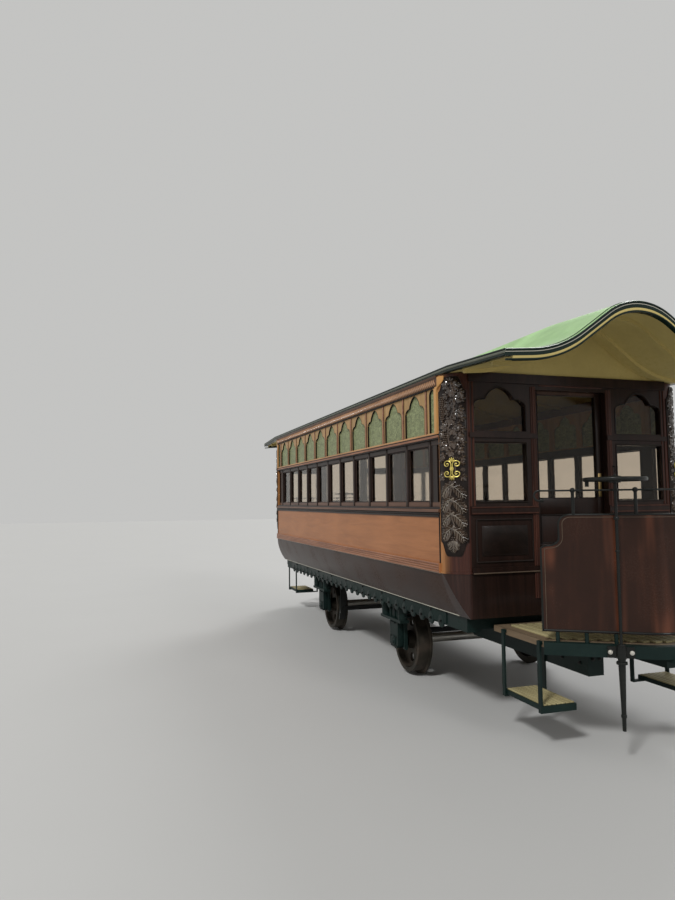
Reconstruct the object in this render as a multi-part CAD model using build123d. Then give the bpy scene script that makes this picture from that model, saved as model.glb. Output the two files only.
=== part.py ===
"""Four-wheel single-deck horse tram, in millimetres.

+X runs along the car towards one platform, +Y across it and +Z up. The origin is on the
floor, below the middle of the car, where the flanges of the wheels stand.
"""
import os
from math import cos, radians, sin, tan

from build123d import *

# Window bays along the side
bay_pitch = 470.0
bay_count = 11
end_bay = 215.0

# Saloon body
body_half_width = 1100.0
corner_radius = 170.0
side_wall = 46.0
end_wall = 55.0
seat_clearance = 0.3

# Wheels and axles
wheel_tread_radius = 305.0
wheel_flange_depth = 25.0
wheel_face = 740.0
tread_width = 108.0
tread_coning = 4.0
flange_width = 28.0
flange_slope = 8.0
flange_round = 6.0
rim_thick = 42.0
web_thick = 26.0
web_lap = 10.0
hub_radius = 82.0
hub_width = 150.0
hub_proud = 4.0
hub_fillet = 8.0
web_hole_count = 6
web_hole_radius = 44.0
axle_half_spacing = 1255.0
axle_radius = 45.0
journal_radius = 34.0
journal_overhang = 35.0

# Heights of the body's bands, each from the one below it
frame_rise = 475.0
rocker_height = 335.0
mould_height = 75.0
waist_height = 370.0
sill_height = 60.0
bottom_rail_height = 40.0
lower_light_height = 449.0
top_rail_height = 42.0
band_height = 38.0
arch_sill_height = 16.0
arch_side_height = 197.0
arch_shoulder_rise = 52.0
arch_head_rise = 96.0
arch_board_margin = 12.0
cornice_height = 85.0

# Rocker panel, which turns in below the mould
rocker_turn_in = 150.0
rocker_belly = 0.34
rocker_wall = 40.0

# Side window frames and arched lights
post_width = 62.0
frame_recess = 30.0
arch_board_thick = 34.0
arch_rib_width = 84.0
arch_cusp_share = 0.56
arch_head_bulge = 0.13
narrow_light_width = 96.0
end_light_width = 84.0
end_light_gap = 14.0
glass_thick = 6.0

# Mouldings
mould_proud = 16.0
corner_bead_proud = 7.0
corner_bead_height = 12.0
cornice_proud = 24.0
cornice_step_height = 0.30

# Bulkheads
door_opening_half = 330.0
door_jamb = 100.0
bulkhead_stile = 50.0
door_head_gap = 22.0
end_mould_height = 45.0
header_lap = 19.0
header_height = 76.0
end_board_thick = 24.0

# Sliding doors
door_lap = 22.0
door_head_lap = 30.0
door_thick = 38.0
door_clearance = 8.0
door_bottom_gap = 8.0
door_stile = 78.0
door_rail_lift = 25.0
door_kick_rail = 120.0
door_waist_rail = 20.0
door_panel_sunk = 8.0
door_pocket_reach = 42.0
door_track_height = 34.0
door_track_thick = 26.0
door_track_gap = 6.0
door_rail_width = 12.0
handle_proud = 3.0
handle_inset = 62.0
handle_width = 26.0
handle_height = 160.0
handle_rise = 95.0

# Saloon floor
floor_rise = 120.0
saloon_floor_thick = 45.0
floor_edge_gap = 20.0

# Roof, an ogee in section
crest_radius = 450.0
haunch_angle = 35.5
valley_radius = 800.0
eave_flat = 211.2
eave_angle = 4.0
roof_thick = 52.0
canopy_reach = 816.0
canopy_drop = 43.0
stick_width = 34.0
stick_depth = 30.0
stick_wall_gap = 4.0
canopy_stick_inset = 60.0
canopy_stick_start = 150.0
canopy_stick_pitch = 400.0
canopy_stick_count = 2

# Underframe
guard_gap = 48.0
guard_thick = 22.0
solebar_width = 120.0
solebar_depth = 115.0
headstock_setback = 40.0
cross_bearer_width = 90.0
cross_bearer_depth = 95.0
cross_bearer_lap = 5.0
outer_bearer_inset = 970.0
bearer_inner = 270.0
bearer_width = 125.0
bearer_depth = 215.0
bearer_back_inset = 980.0
bearer_overhang = 30.0

# Axle guards, boxes and springs
guard_half_width = 150.0
guard_drop = 68.0
guard_lap = 70.0
guard_slot_half = 78.0
guard_slot_rise = 25.0
box_half_width = 74.0
box_half_height = 60.0
box_hub_gap = 12.0
box_proud = 60.0
casing_half_width = 100.0
casing_drop = 40.0
bore_clearance = 0.5
bore_end_gap = 4.0
wing_gap = 4.0
spring_plate = 26.0
spring_radius = 46.0
spring_offset = 205.0
spring_seat_rise = 230.0

# Brake gear
shoe_width = 80.0
shoe_thick = 46.0
shoe_half_angle = 24.0
shoe_clearance = 12.0
shoe_lap = 4.0
hanger_width = 26.0
hanger_drop = 60.0
brake_beam_size = 50.0
brake_beam_inset = 8.0

# Platforms and their dashes
platform_drop = 180.0
platform_floor_thick = 45.0
platform_half_width = 724.0
platform_length = 590.0
dash_flank_angle = 57.0
dash_nose_radius = 320.0
dash_gap = 67.0
dash_height = 780.0
dash_thick = 10.0
dash_offset = 25.0
dash_shoulder_drop = 262.0
dash_notch = 86.0
dash_shoulder_round = 62.0
dash_cove_radius = 54.0
dash_end_round = 70.0
beam_depth = 81.0
beam_width = 62.0
pillar_radius = 13.0
pillar_along = (0.14, 0.42, 0.70)
draw_plate_length = 190.0
draw_plate_width = 150.0
draw_plate_thick = 24.0
draw_plate_reach = 70.0
draw_pin_inset = 34.0
draw_pin_radius = 14.0

# Dash rail
rail_rise = 163.0
rail_radius = 6.0
stanchion_radius = 11.0
stanchion_along = (0.33, 0.93)
finial_radius = 18.0
scroll_radius = 34.0
scroll_bar_radius = 8.0
scroll_turn = 210.0
scroll_ball_radius = 14.0

# Brake column and handwheel
column_y = 375.0
column_radius = 10.0
column_socket_radius = 24.0
column_tip_radius = 12.0
column_foot_height = 215.0
column_offset = 34.0
column_boss_radius = 30.0
bracket_length = 165.0
bracket_thick = 18.0
bracket_inset = 5.0
handwheel_rise = 232.0
handwheel_radius = 201.0
rim_width = 34.0
rim_height = 26.0
rim_round = 10.0
handwheel_spokes = 4
spoke_radius = 9.0
hub_cap_radius = 38.0
hub_cap_height = 44.0
grip_drop = 46.0
grip_radius = 13.0

# Steps
step_back_gap = 90.0
step_front_gap = 12.0
step_side_gap = 75.0
step_drop = 440.0
step_thick = 32.0
step_iron_width = 34.0
step_iron_thick = 14.0
step_iron_gap = 12.0
step_iron_lap = 5.0
step_hanger_lap = 120.0
step_bar_thick = 14.0

# Seats
seat_depth = 430.0
seat_height = 430.0
seat_slat = 62.0
seat_slat_gap = 14.0
seat_slat_thick = 22.0
seat_end_gap = 150.0
seat_back_gap = 40.0
seat_back_slats = 3
seat_frame_count = 6
seat_frame_width = 50.0
seat_frame_depth = 60.0
seat_back_frame = 18.0

# Lengths along the car
post_row_half = bay_pitch * bay_count / 2
straight_half = post_row_half + end_bay
body_half_length = straight_half + corner_radius
bulkhead_inner_x = body_half_length - end_wall
canopy_half_length = body_half_length + canopy_reach
dash_end_x = body_half_length + platform_length
outer_bearer_x = body_half_length - outer_bearer_inset
brake_hanger_x = (axle_half_spacing - wheel_tread_radius - shoe_clearance - shoe_thick
                  - hanger_width / 2 + shoe_lap)
cross_bearer_places = (-outer_bearer_x, -brake_hanger_x, 0.0, brake_hanger_x, outer_bearer_x)
frame_end = bulkhead_inner_x - headstock_setback
door_outer_x = bulkhead_inner_x - door_clearance

# Widths across the car
guard_outer = wheel_face + guard_gap + guard_thick
solebar_outer = guard_outer + solebar_width
frame_face = body_half_width - frame_recess
inner_face = body_half_width - side_wall - frame_recess
bulkhead_half_width = body_half_width - corner_radius
rocker_foot = body_half_width - rocker_turn_in
bulkhead_window_inner = door_opening_half + door_jamb
bulkhead_window_outer = bulkhead_half_width - bulkhead_stile
door_half_width = door_opening_half + door_lap
door_travel = bulkhead_half_width + door_pocket_reach - door_half_width
bearer_outer = bearer_inner + bearer_width
journal_end = guard_outer + journal_overhang

# Heights above the floor
axle_z = wheel_tread_radius + wheel_flange_depth
rocker_bottom = axle_z + frame_rise
rocker_top = rocker_bottom + rocker_height
mould_top = rocker_top + mould_height
waist_top = mould_top + waist_height
sill_top = waist_top + sill_height
lower_light_bottom = sill_top + bottom_rail_height
lower_light_top = lower_light_bottom + lower_light_height
band_bottom = lower_light_top + top_rail_height
band_top = band_bottom + band_height
arch_light_bottom = band_top + arch_sill_height
arch_shoulder = arch_light_bottom + arch_side_height
arch_step = arch_shoulder + arch_shoulder_rise
light_tip = arch_step + arch_head_rise
cornice_bottom = light_tip + arch_board_margin
cornice_top = cornice_bottom + cornice_height
door_opening_top = cornice_bottom - door_head_gap
door_top = door_opening_top + door_head_lap
saloon_floor_top = rocker_bottom + floor_rise
saloon_floor_bottom = saloon_floor_top - saloon_floor_thick
door_bottom = saloon_floor_top + door_bottom_gap
header_bottom = cornice_bottom + header_lap
header_top = header_bottom + header_height
solebar_bottom = rocker_bottom - solebar_depth
spring_bottom = axle_z + spring_seat_rise
platform_top = saloon_floor_top - platform_drop
platform_under = platform_top - platform_floor_thick
bearer_bottom = platform_under - bearer_depth
beam_bottom = platform_top - beam_depth
dash_bottom = platform_top + dash_gap
dash_top = dash_bottom + dash_height
rail_height = dash_top + rail_rise
handwheel_height = dash_top + handwheel_rise
step_top = platform_top - step_drop

# The roof's line, which stands on the cornices
haunch_slope = radians(haunch_angle)
eave_slope = radians(eave_angle)
haunch_start = crest_radius * sin(haunch_slope)
haunch_end = (body_half_width - eave_flat
              - valley_radius * (sin(haunch_slope) - sin(eave_slope)))
crest_fall = crest_radius * (1 - cos(haunch_slope))
haunch_fall = (haunch_end - haunch_start) * tan(haunch_slope)
valley_fall = valley_radius * (cos(eave_slope) - cos(haunch_slope))
eave_fall = eave_flat * tan(eave_slope)
canopy_slope = canopy_drop / canopy_reach
roof_crest = (cornice_top + seat_clearance + roof_thick
              + crest_fall + haunch_fall + valley_fall + eave_fall)


def block(x0, x1, y0, y1, z0, z1):
    """A box between two corners, given as pairs along each axis."""
    centre = Pos((x0 + x1) / 2, (y0 + y1) / 2, (z0 + z1) / 2)
    return centre * Box(abs(x1 - x0), abs(y1 - y0), abs(z1 - z0))


def rod(start, end, radius):
    """A round bar between two points."""
    start = Vector(*start)
    end = Vector(*end)
    run = end - start
    plane = Plane(origin=start, z_dir=run.normalized())
    return plane * Cylinder(radius, run.length, align=(Align.CENTER, Align.CENTER, Align.MIN))


def standing(radius, low, high):
    """A round post on the Z axis between two heights."""
    return rod((0, 0, low), (0, 0, high), radius)


def across(face, y0, y1):
    """Extrudes a sketch, drawn with x along the car and y as height, between two planes."""
    plane = Plane(origin=(0, y1, 0), x_dir=(1, 0, 0), z_dir=(0, -1, 0))
    return extrude(plane * face, y1 - y0)


def along(face, x0, x1):
    """Extrudes a sketch, drawn with x across the car and y as height, between two planes."""
    plane = Plane(origin=(x0, 0, 0), x_dir=(0, 1, 0), z_dir=(1, 0, 0))
    return extrude(plane * face, x1 - x0)


def upright(face, z0, z1):
    """Extrudes a plan sketch between two heights."""
    return extrude(Pos(0, 0, z0) * face, z1 - z0)


def panel(x0, x1, z0, z1):
    """A rectangular sketch between two corners."""
    return Pos((x0 + x1) / 2, (z0 + z1) / 2) * Rectangle(abs(x1 - x0), abs(z1 - z0))


def other_side(shape):
    """The same piece on the other long side of the car."""
    return mirror(shape, about=Plane.XZ)


def other_end(shape):
    """The same piece at the other end of the car."""
    return mirror(shape, about=Plane.YZ)


def roof_line(drop):
    """Half of the roof's line from the crest to the eave, lowered by drop, with its two ends."""
    top = roof_crest - drop
    centre = top - crest_radius
    crest_mid = (crest_radius * sin(haunch_slope / 2),
                 centre + crest_radius * cos(haunch_slope / 2))
    haunch_high = (haunch_start, top - crest_fall)
    haunch_low = (haunch_end, top - crest_fall - haunch_fall)
    valley_y = haunch_end + valley_radius * sin(haunch_slope)
    valley_z = haunch_low[1] + valley_radius * cos(haunch_slope)
    middle = (haunch_slope + eave_slope) / 2
    valley_mid = (valley_y - valley_radius * sin(middle), valley_z - valley_radius * cos(middle))
    valley_low = (valley_y - valley_radius * sin(eave_slope), haunch_low[1] - valley_fall)
    edge = (body_half_width, valley_low[1] - eave_fall)
    line = [
        ThreePointArc((0, top), crest_mid, haunch_high),
        Line(haunch_high, haunch_low),
        ThreePointArc(haunch_low, valley_mid, valley_low),
        Line(valley_low, edge),
    ]
    return line, (0, top), edge


def roof_section(top_drop, under_drop):
    """The roof's closed section between two lowered copies of its line."""
    upper, top, edge = roof_line(top_drop)
    lower, under, low_edge = roof_line(under_drop)
    half = make_face(upper + [Line(edge, low_edge)] + lower + [Line(under, top)])
    return half + mirror(half, about=Plane.YZ)


def under_roof(drop, low):
    """The closed region between the roof's line, lowered by drop, and a level below it."""
    line, top, edge = roof_line(drop)
    half = make_face(line + [Line(edge, (edge[0], low)), Line((edge[0], low), (0, low)),
                             Line((0, low), top)])
    return half + mirror(half, about=Plane.YZ)


def dash_points(offset):
    """The corners of the platform's bow in plan, set out or in by offset."""
    flank = radians(dash_flank_angle)
    normal = (sin(flank), cos(flank))
    end = (dash_end_x + normal[0] * offset, platform_half_width + normal[1] * offset)
    run = (platform_half_width - dash_nose_radius * cos(flank)) / sin(flank)
    touch_x = dash_end_x + run * cos(flank)
    nose_x = touch_x - dash_nose_radius * sin(flank)
    radius = dash_nose_radius + offset
    touch = (nose_x + radius * sin(flank), radius * cos(flank))
    return end, touch, (nose_x + radius, 0.0)


def bow_band(inner_offset, outer_offset):
    """The plan of a strip that follows the bow between two offsets."""
    end_out, touch_out, nose_out = dash_points(outer_offset)
    end_in, touch_in, nose_in = dash_points(inner_offset)
    edges = [
        Line((end_out[0], -end_out[1]), (touch_out[0], -touch_out[1])),
        ThreePointArc((touch_out[0], -touch_out[1]), nose_out, touch_out),
        Line(touch_out, end_out),
        Line(end_out, end_in),
        Line(end_in, touch_in),
        ThreePointArc(touch_in, nose_in, (touch_in[0], -touch_in[1])),
        Line((touch_in[0], -touch_in[1]), (end_in[0], -end_in[1])),
        Line((end_in[0], -end_in[1]), (end_out[0], -end_out[1])),
    ]
    return make_face(edges)


def bow_place(share, offset):
    """A point on the bow's flank, at a share of the way from its end to the nose."""
    end, touch, _ = dash_points(offset)
    return (end[0] + (touch[0] - end[0]) * share, end[1] + (touch[1] - end[1]) * share)


def arched_light(width):
    """The outline of a light with shouldered sides and a pointed head, centred on x = 0."""
    half = width / 2
    cusp = half * arch_cusp_share
    diagonal = radians(45)
    shoulder_mid = (cusp + (half - cusp) * sin(diagonal),
                    arch_shoulder + arch_shoulder_rise * sin(diagonal))
    head_mid = (cusp / 2 + arch_head_rise * arch_head_bulge,
                arch_step + arch_head_rise / 2 + cusp * arch_head_bulge)
    right = [
        Line((0, arch_light_bottom), (half, arch_light_bottom)),
        Line((half, arch_light_bottom), (half, arch_shoulder)),
        ThreePointArc((half, arch_shoulder), shoulder_mid, (cusp, arch_step)),
        ThreePointArc((cusp, arch_step), head_mid, (0, light_tip)),
        Line((0, light_tip), (0, arch_light_bottom)),
    ]
    face = make_face(right)
    return face + mirror(face, about=Plane.YZ)


def narrow_light():
    """The outline of a narrow light with a round head, centred on x = 0."""
    half = narrow_light_width / 2
    head = Pos(0, light_tip - half) * Circle(half)
    return head + panel(-half, half, arch_light_bottom, light_tip - half)


def bay_centres():
    """The middle of each window bay along the side."""
    return [-post_row_half + bay_pitch * (bay + 0.5) for bay in range(bay_count)]


def upper_light_faces():
    """The outline of each light in the arched row along the side."""
    wide = arched_light(bay_pitch - arch_rib_width)
    narrow = narrow_light()
    narrow_x = (post_row_half + straight_half) / 2
    faces = [Pos(x, 0) * wide for x in bay_centres()]
    return faces + [Pos(narrow_x, 0) * narrow, Pos(-narrow_x, 0) * narrow]


def lower_light_spans():
    """The two ends of each lower window along the side."""
    half = (bay_pitch - post_width) / 2
    end = straight_half - end_light_gap
    spans = [(x - half, x + half) for x in bay_centres()]
    return spans + [(end - end_light_width, end), (-end, end_light_width - end)]


def rocker_profile():
    """The section of the rocker panel, measured inwards from the side's face."""
    middle_z = (rocker_bottom + rocker_top) / 2
    belly = -rocker_turn_in * rocker_belly
    outer = ThreePointArc((-rocker_turn_in, rocker_bottom), (belly, middle_z), (0, rocker_top))
    inner = ThreePointArc((-rocker_wall, rocker_top), (belly - rocker_wall, middle_z),
                          (-rocker_turn_in - rocker_wall, rocker_bottom))
    return [
        outer,
        Line((0, rocker_top), (-rocker_wall, rocker_top)),
        inner,
        Line((-rocker_turn_in - rocker_wall, rocker_bottom), (-rocker_turn_in, rocker_bottom)),
    ]


def make_rocker():
    """The turned-in lower panel of the left side."""
    section = Pos(body_half_width, 0) * make_face(rocker_profile())
    return along(section, -straight_half, straight_half)


def make_waist_panel():
    """The upright panel between the mould and the window sill of the left side."""
    board = block(-straight_half, straight_half, body_half_width - side_wall, body_half_width,
                  rocker_top, waist_top)
    mould = block(-straight_half, straight_half, body_half_width, body_half_width + mould_proud,
                  rocker_top, mould_top)
    return board + mould


def make_window_frame():
    """The posts, waist rail, sill and head rail of the left side's lower windows."""
    face = panel(-straight_half, straight_half, waist_top, band_top)
    openings = [panel(x0, x1, lower_light_bottom, lower_light_top)
                for x0, x1 in lower_light_spans()]
    frame = across(face - openings, inner_face, frame_face)
    sill = block(-straight_half, straight_half, frame_face, body_half_width, waist_top, sill_top)
    band = block(-straight_half, straight_half, frame_face, body_half_width,
                 band_bottom, band_top)
    return frame + sill + band


def make_arch_board():
    """The board with the arched lights above the windows of the left side."""
    face = panel(-straight_half, straight_half, band_top, cornice_bottom)
    return across(face - upper_light_faces(), body_half_width - arch_board_thick,
                  body_half_width)


def make_cornice():
    """The moulding under the eave of the left side."""
    steps = [
        # share of the height from the top, share of how far the cornice stands proud
        (0.0, 1.0),
        (0.35, 0.7),
        (0.70, 0.35),
    ]
    depth = cornice_top - cornice_bottom
    back = body_half_width - side_wall
    shape = block(-straight_half, straight_half, back, body_half_width,
                  cornice_bottom, cornice_top)
    for start, proud in steps:
        shape += block(-straight_half, straight_half, back,
                       body_half_width + cornice_proud * proud,
                       cornice_top - depth * (start + cornice_step_height),
                       cornice_top - depth * start)
    return shape


def make_corner_post():
    """The rounded corner at the left of the positive end, with its turned-in foot."""
    centre = Pos(straight_half, bulkhead_half_width)
    reach = corner_radius + corner_bead_proud
    quarter_mask = Pos(reach / 2, reach / 2) * Rectangle(reach, reach)
    wall = (Circle(corner_radius) - Circle(corner_radius - side_wall)) & quarter_mask
    bead = (Circle(reach) - Circle(corner_radius - side_wall)) & quarter_mask
    post = upright(centre * wall, rocker_top, cornice_top)
    post += upright(centre * bead, rocker_top, rocker_top + corner_bead_height)
    foot_face = make_face([
        rocker_profile()[0],
        Line((0, rocker_top), (-corner_radius, rocker_top)),
        Line((-corner_radius, rocker_top), (-corner_radius, rocker_bottom)),
        Line((-corner_radius, rocker_bottom), (-rocker_turn_in, rocker_bottom)),
    ])
    foot = along(Pos(body_half_width, 0) * foot_face, straight_half, body_half_length)
    rounded = upright(centre * Circle(corner_radius), rocker_bottom, rocker_top)
    pocket = block(straight_half, door_outer_x + door_clearance, bulkhead_half_width,
                   door_half_width + door_travel + door_clearance,
                   saloon_floor_bottom, rocker_top)
    return post + ((foot & rounded) - pocket)


def bulkhead_lights():
    """The two window openings on the left half of a bulkhead, in the cross section."""
    lower = panel(bulkhead_window_inner, bulkhead_window_outer,
                  lower_light_bottom, lower_light_top)
    width = bulkhead_window_outer - bulkhead_window_inner
    upper = Pos((bulkhead_window_inner + bulkhead_window_outer) / 2, 0) * arched_light(width)
    return [lower, upper]


def make_bulkhead():
    """The end wall of the saloon with its doorway, windows, moulds, header and door track."""
    face = panel(-bulkhead_half_width, bulkhead_half_width, rocker_bottom, cornice_top)
    holes = [panel(-door_opening_half, door_opening_half, saloon_floor_top, door_opening_top)]
    for light in bulkhead_lights():
        holes.append(light)
        holes.append(mirror(light, about=Plane.YZ))
    wall = along(face - holes, bulkhead_inner_x, body_half_length)
    front = body_half_length + mould_proud
    for side in (-1, 1):
        for low_z, high_z in ((rocker_top, rocker_top + end_mould_height), (waist_top, sill_top),
                              (band_bottom, band_top)):
            wall += block(body_half_length, front, side * door_opening_half,
                          side * bulkhead_half_width, low_z, high_z)
    fall = canopy_slope * mould_proud
    below_roof = under_roof(roof_thick + seat_clearance + fall, rocker_top)
    header = panel(-bulkhead_half_width, bulkhead_half_width, header_bottom, header_top)
    wall += along(below_roof & header, body_half_length, front)
    track_z = door_top + door_track_gap
    wall += block(bulkhead_inner_x - door_track_thick, bulkhead_inner_x,
                  -door_half_width, door_half_width + door_travel,
                  track_z, track_z + door_track_height)
    return wall


def make_end_board():
    """The board that closes the arch of the roof above a bulkhead."""
    inset = panel(-bulkhead_half_width, bulkhead_half_width, cornice_top, roof_crest)
    return along(under_roof(roof_thick, cornice_top) & inset,
                 body_half_length - end_board_thick, body_half_length)


def make_door():
    """The sliding door of the positive end, closed."""
    face = panel(-door_half_width, door_half_width, door_bottom, door_top)
    half = door_half_width - door_stile
    lower = panel(-half, half, lower_light_bottom + door_rail_lift, lower_light_top)
    door = along(face - lower - arched_light(2 * half), door_outer_x - door_thick, door_outer_x)
    sunk = panel(-half, half, door_bottom + door_kick_rail, waist_top - door_waist_rail)
    door -= along(sunk, door_outer_x - door_panel_sunk, door_outer_x)
    handle_z = sill_top - handle_rise - handle_width / 2
    handle_y = door_half_width - handle_inset
    return door + block(door_outer_x, door_outer_x + handle_proud, handle_y - handle_width,
                        handle_y, handle_z, handle_z + handle_height)


def make_door_glass():
    """The two panes of the sliding door of the positive end."""
    half = door_half_width - door_stile
    lower = panel(-half, half, lower_light_bottom + door_rail_lift, lower_light_top)
    middle = door_outer_x - door_thick / 2
    return Compound([along(pane, middle - glass_thick / 2, middle + glass_thick / 2)
                     for pane in (lower, arched_light(2 * half))])


def make_lower_lights():
    """The panes of the lower windows, both sides."""
    middle = (frame_face + inner_face) / 2
    panes = [block(x0, x1, middle - glass_thick / 2, middle + glass_thick / 2,
                   lower_light_bottom, lower_light_top) for x0, x1 in lower_light_spans()]
    return Compound(panes + [other_side(pane) for pane in panes])


def make_upper_lights():
    """The panes of the arched lights, both sides."""
    middle = body_half_width - arch_board_thick / 2
    panes = [across(face, middle - glass_thick / 2, middle + glass_thick / 2)
             for face in upper_light_faces()]
    return Compound(panes + [other_side(pane) for pane in panes])


def make_bulkhead_lights():
    """The panes of both bulkheads."""
    middle = body_half_length - end_wall / 2
    panes = [along(face, middle - glass_thick / 2, middle + glass_thick / 2)
             for face in bulkhead_lights()]
    panes += [other_side(pane) for pane in panes]
    return Compound(panes + [other_end(pane) for pane in panes])


def make_saloon_floor():
    """The boarded floor of the saloon."""
    wide = rocker_foot - floor_edge_gap
    narrow = bulkhead_half_width - seat_clearance
    floor = block(-straight_half, straight_half, -wide, wide,
                  saloon_floor_bottom, saloon_floor_top)
    floor += block(-bulkhead_inner_x, bulkhead_inner_x, -narrow, narrow,
                   saloon_floor_bottom, saloon_floor_top)
    rail_x = door_outer_x - door_thick / 2
    rail = block(rail_x - door_rail_width / 2, rail_x + door_rail_width / 2,
                 -door_half_width, door_half_width + door_travel, saloon_floor_bottom,
                 door_bottom - seat_clearance)
    return floor + rail + Rot(0, 0, 180) * rail


def make_seat():
    """The slatted bench along the left side."""
    back = inner_face
    front = back - seat_depth
    seat_top = saloon_floor_top + seat_height
    seat_under = seat_top - seat_slat_thick
    end = door_outer_x - door_thick - seat_end_gap
    pitch = seat_slat + seat_slat_gap
    shape = block(-end, end, back - seat_slat_thick, back, seat_under, seat_top)
    for slat in range(int(seat_depth / pitch)):
        y0 = front + slat * pitch
        shape += block(-end, end, y0, y0 + seat_slat, seat_under, seat_top)
    for slat in range(seat_back_slats):
        z0 = seat_top + seat_back_gap + slat * pitch
        shape += block(-end, end, back - seat_slat_thick, back, z0, z0 + seat_slat)
    back_top = seat_top + seat_back_gap + (seat_back_slats - 1) * pitch + seat_slat
    shape += block(-end, end, front, front + seat_slat_thick, saloon_floor_top, seat_under)
    frame_pitch = (2 * end - seat_frame_width) / (seat_frame_count - 1)
    for frame in range(seat_frame_count):
        x0 = -end + frame * frame_pitch
        x1 = x0 + seat_frame_width
        shape += block(x0, x1, front, back, seat_under - seat_frame_depth, seat_under)
        shape += block(x0, x1, front, front + seat_frame_depth, saloon_floor_top, seat_under)
        shape += block(x0, x1, back - seat_slat_thick - seat_back_frame, back - seat_slat_thick,
                       seat_under - seat_frame_depth, back_top)
    return shape


def hood(face, x0, x1):
    """Extrudes a sketch of the roof's section along the positive canopy, which droops."""
    start = canopy_slope * (body_half_length - x0)
    plane = Plane(origin=(x0, 0, start), x_dir=(0, 1, 0), z_dir=(1, 0, 0))
    run = Vector(x1 - x0, 0, canopy_slope * (x0 - x1))
    pieces = [Solid.extrude(part, run) for part in (plane * face).faces()]
    return Part() + pieces


def make_roof():
    """The boarded roof with its two drooping canopies."""
    section = roof_section(0.0, roof_thick)
    canopy = hood(section, body_half_length, canopy_half_length)
    roof = along(section, -body_half_length, body_half_length)
    return roof + canopy + other_end(canopy)


def make_roof_sticks():
    """The hoop sticks under the roof, in the saloon and under the canopies."""
    section = roof_section(roof_thick, roof_thick + stick_depth)
    inner = inner_face - stick_wall_gap
    inside = panel(-inner, inner, band_top, roof_crest)
    outer = body_half_width - canopy_stick_inset
    outside = panel(-outer, outer, band_top, roof_crest)
    half = stick_width / 2
    sticks = [along(section & inside, x - half, x + half) for x in bay_centres()[::2]]
    places = [body_half_length + canopy_stick_start + stick * canopy_stick_pitch
              for stick in range(canopy_stick_count)]
    places.append(canopy_half_length - half)
    for x in places:
        stick = hood(section & outside, x - half, x + half)
        sticks += [stick, other_end(stick)]
    return Compound(sticks)


def make_wheel():
    """One wheel at the left of an axle on x = 0, turned from its section."""
    face = wheel_face
    back = face - tread_width - flange_width
    tread = wheel_tread_radius
    rim = tread - rim_thick
    hub_mid = face - hub_width / 2
    flange_top = tread + wheel_flange_depth
    outline = [
        # place across the car, radius
        (face, rim),
        (face, tread - tread_coning),
        (back + flange_width, tread),
        (back + flange_width - flange_slope, flange_top),
        (back + flange_round, flange_top),
        (back, flange_top - flange_slope),
        (back, rim),
        (hub_mid - web_thick / 2, rim - web_lap),
        (hub_mid - web_thick / 2, hub_radius + hub_fillet),
        (face - hub_width, hub_radius),
        (face - hub_width, axle_radius),
        (face + hub_proud, axle_radius),
        (face + hub_proud, hub_radius),
        (hub_mid + web_thick / 2, hub_radius + hub_fillet),
        (hub_mid + web_thick / 2, rim - web_lap),
    ]
    wheel = revolve(make_face(Polyline(*outline, close=True)), Axis.X, 360)
    hole_ring = (rim + hub_radius) / 2
    for hole in range(web_hole_count):
        turn = Rot(360 / web_hole_count * hole, 0, 0)
        cutter = Cylinder(web_hole_radius, web_thick * 3)
        wheel -= turn * Pos(hub_mid, 0, hole_ring) * Rot(0, 90, 0) * cutter
    return Rot(0, 0, 90) * wheel


def make_wheels(x):
    """The two wheels of one wheelset."""
    wheel = Pos(x, 0, axle_z) * make_wheel()
    return Compound([wheel, other_side(wheel)])


def make_axle(x):
    """The axle of one wheelset with its journals."""
    half = wheel_face + hub_proud
    body = rod((x, -half, axle_z), (x, half, axle_z), axle_radius)
    return body + rod((x, -journal_end, axle_z), (x, journal_end, axle_z), journal_radius)


def make_underframe():
    """Solebars, headstocks, cross bearers and the bearers that carry the platforms."""
    half_width = cross_bearer_width / 2
    inner = solebar_outer - solebar_width
    under = rocker_bottom - cross_bearer_depth
    between = rocker_foot - rocker_wall - seat_clearance
    frame = block(-frame_end, frame_end, inner, solebar_outer, solebar_bottom, rocker_bottom)
    frame += other_side(frame)
    for x in cross_bearer_places + (frame_end - half_width, half_width - frame_end):
        frame += block(x - half_width, x + half_width, -between, between,
                       rocker_bottom - cross_bearer_lap, saloon_floor_bottom)
        frame += block(x - half_width, x + half_width, -solebar_outer, solebar_outer,
                       under, rocker_bottom)
    back = body_half_length - bearer_back_inset
    front = dash_end_x + bearer_overhang
    outline = panel(back, front, bearer_bottom, platform_under)
    outline += panel(back, frame_end, platform_under, under)
    bearer = across(outline, bearer_inner, bearer_outer)
    for piece in (bearer, other_side(bearer)):
        frame += piece
        frame += other_end(piece)
    return frame


def make_guards():
    """The axle guards that hang from the solebars, one at each wheel."""
    low = axle_z - guard_drop
    face = panel(-guard_half_width, guard_half_width, low, solebar_bottom + guard_lap)
    slot = panel(-guard_slot_half, guard_slot_half, low - guard_thick,
                 spring_bottom + guard_slot_rise)
    plate = across(face - slot, guard_outer - guard_thick, guard_outer)
    plates = []
    for side in (-1, 1):
        guard = Pos(side * axle_half_spacing, 0, 0) * plate
        plates += [guard, other_side(guard)]
    return Compound(plates)


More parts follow.
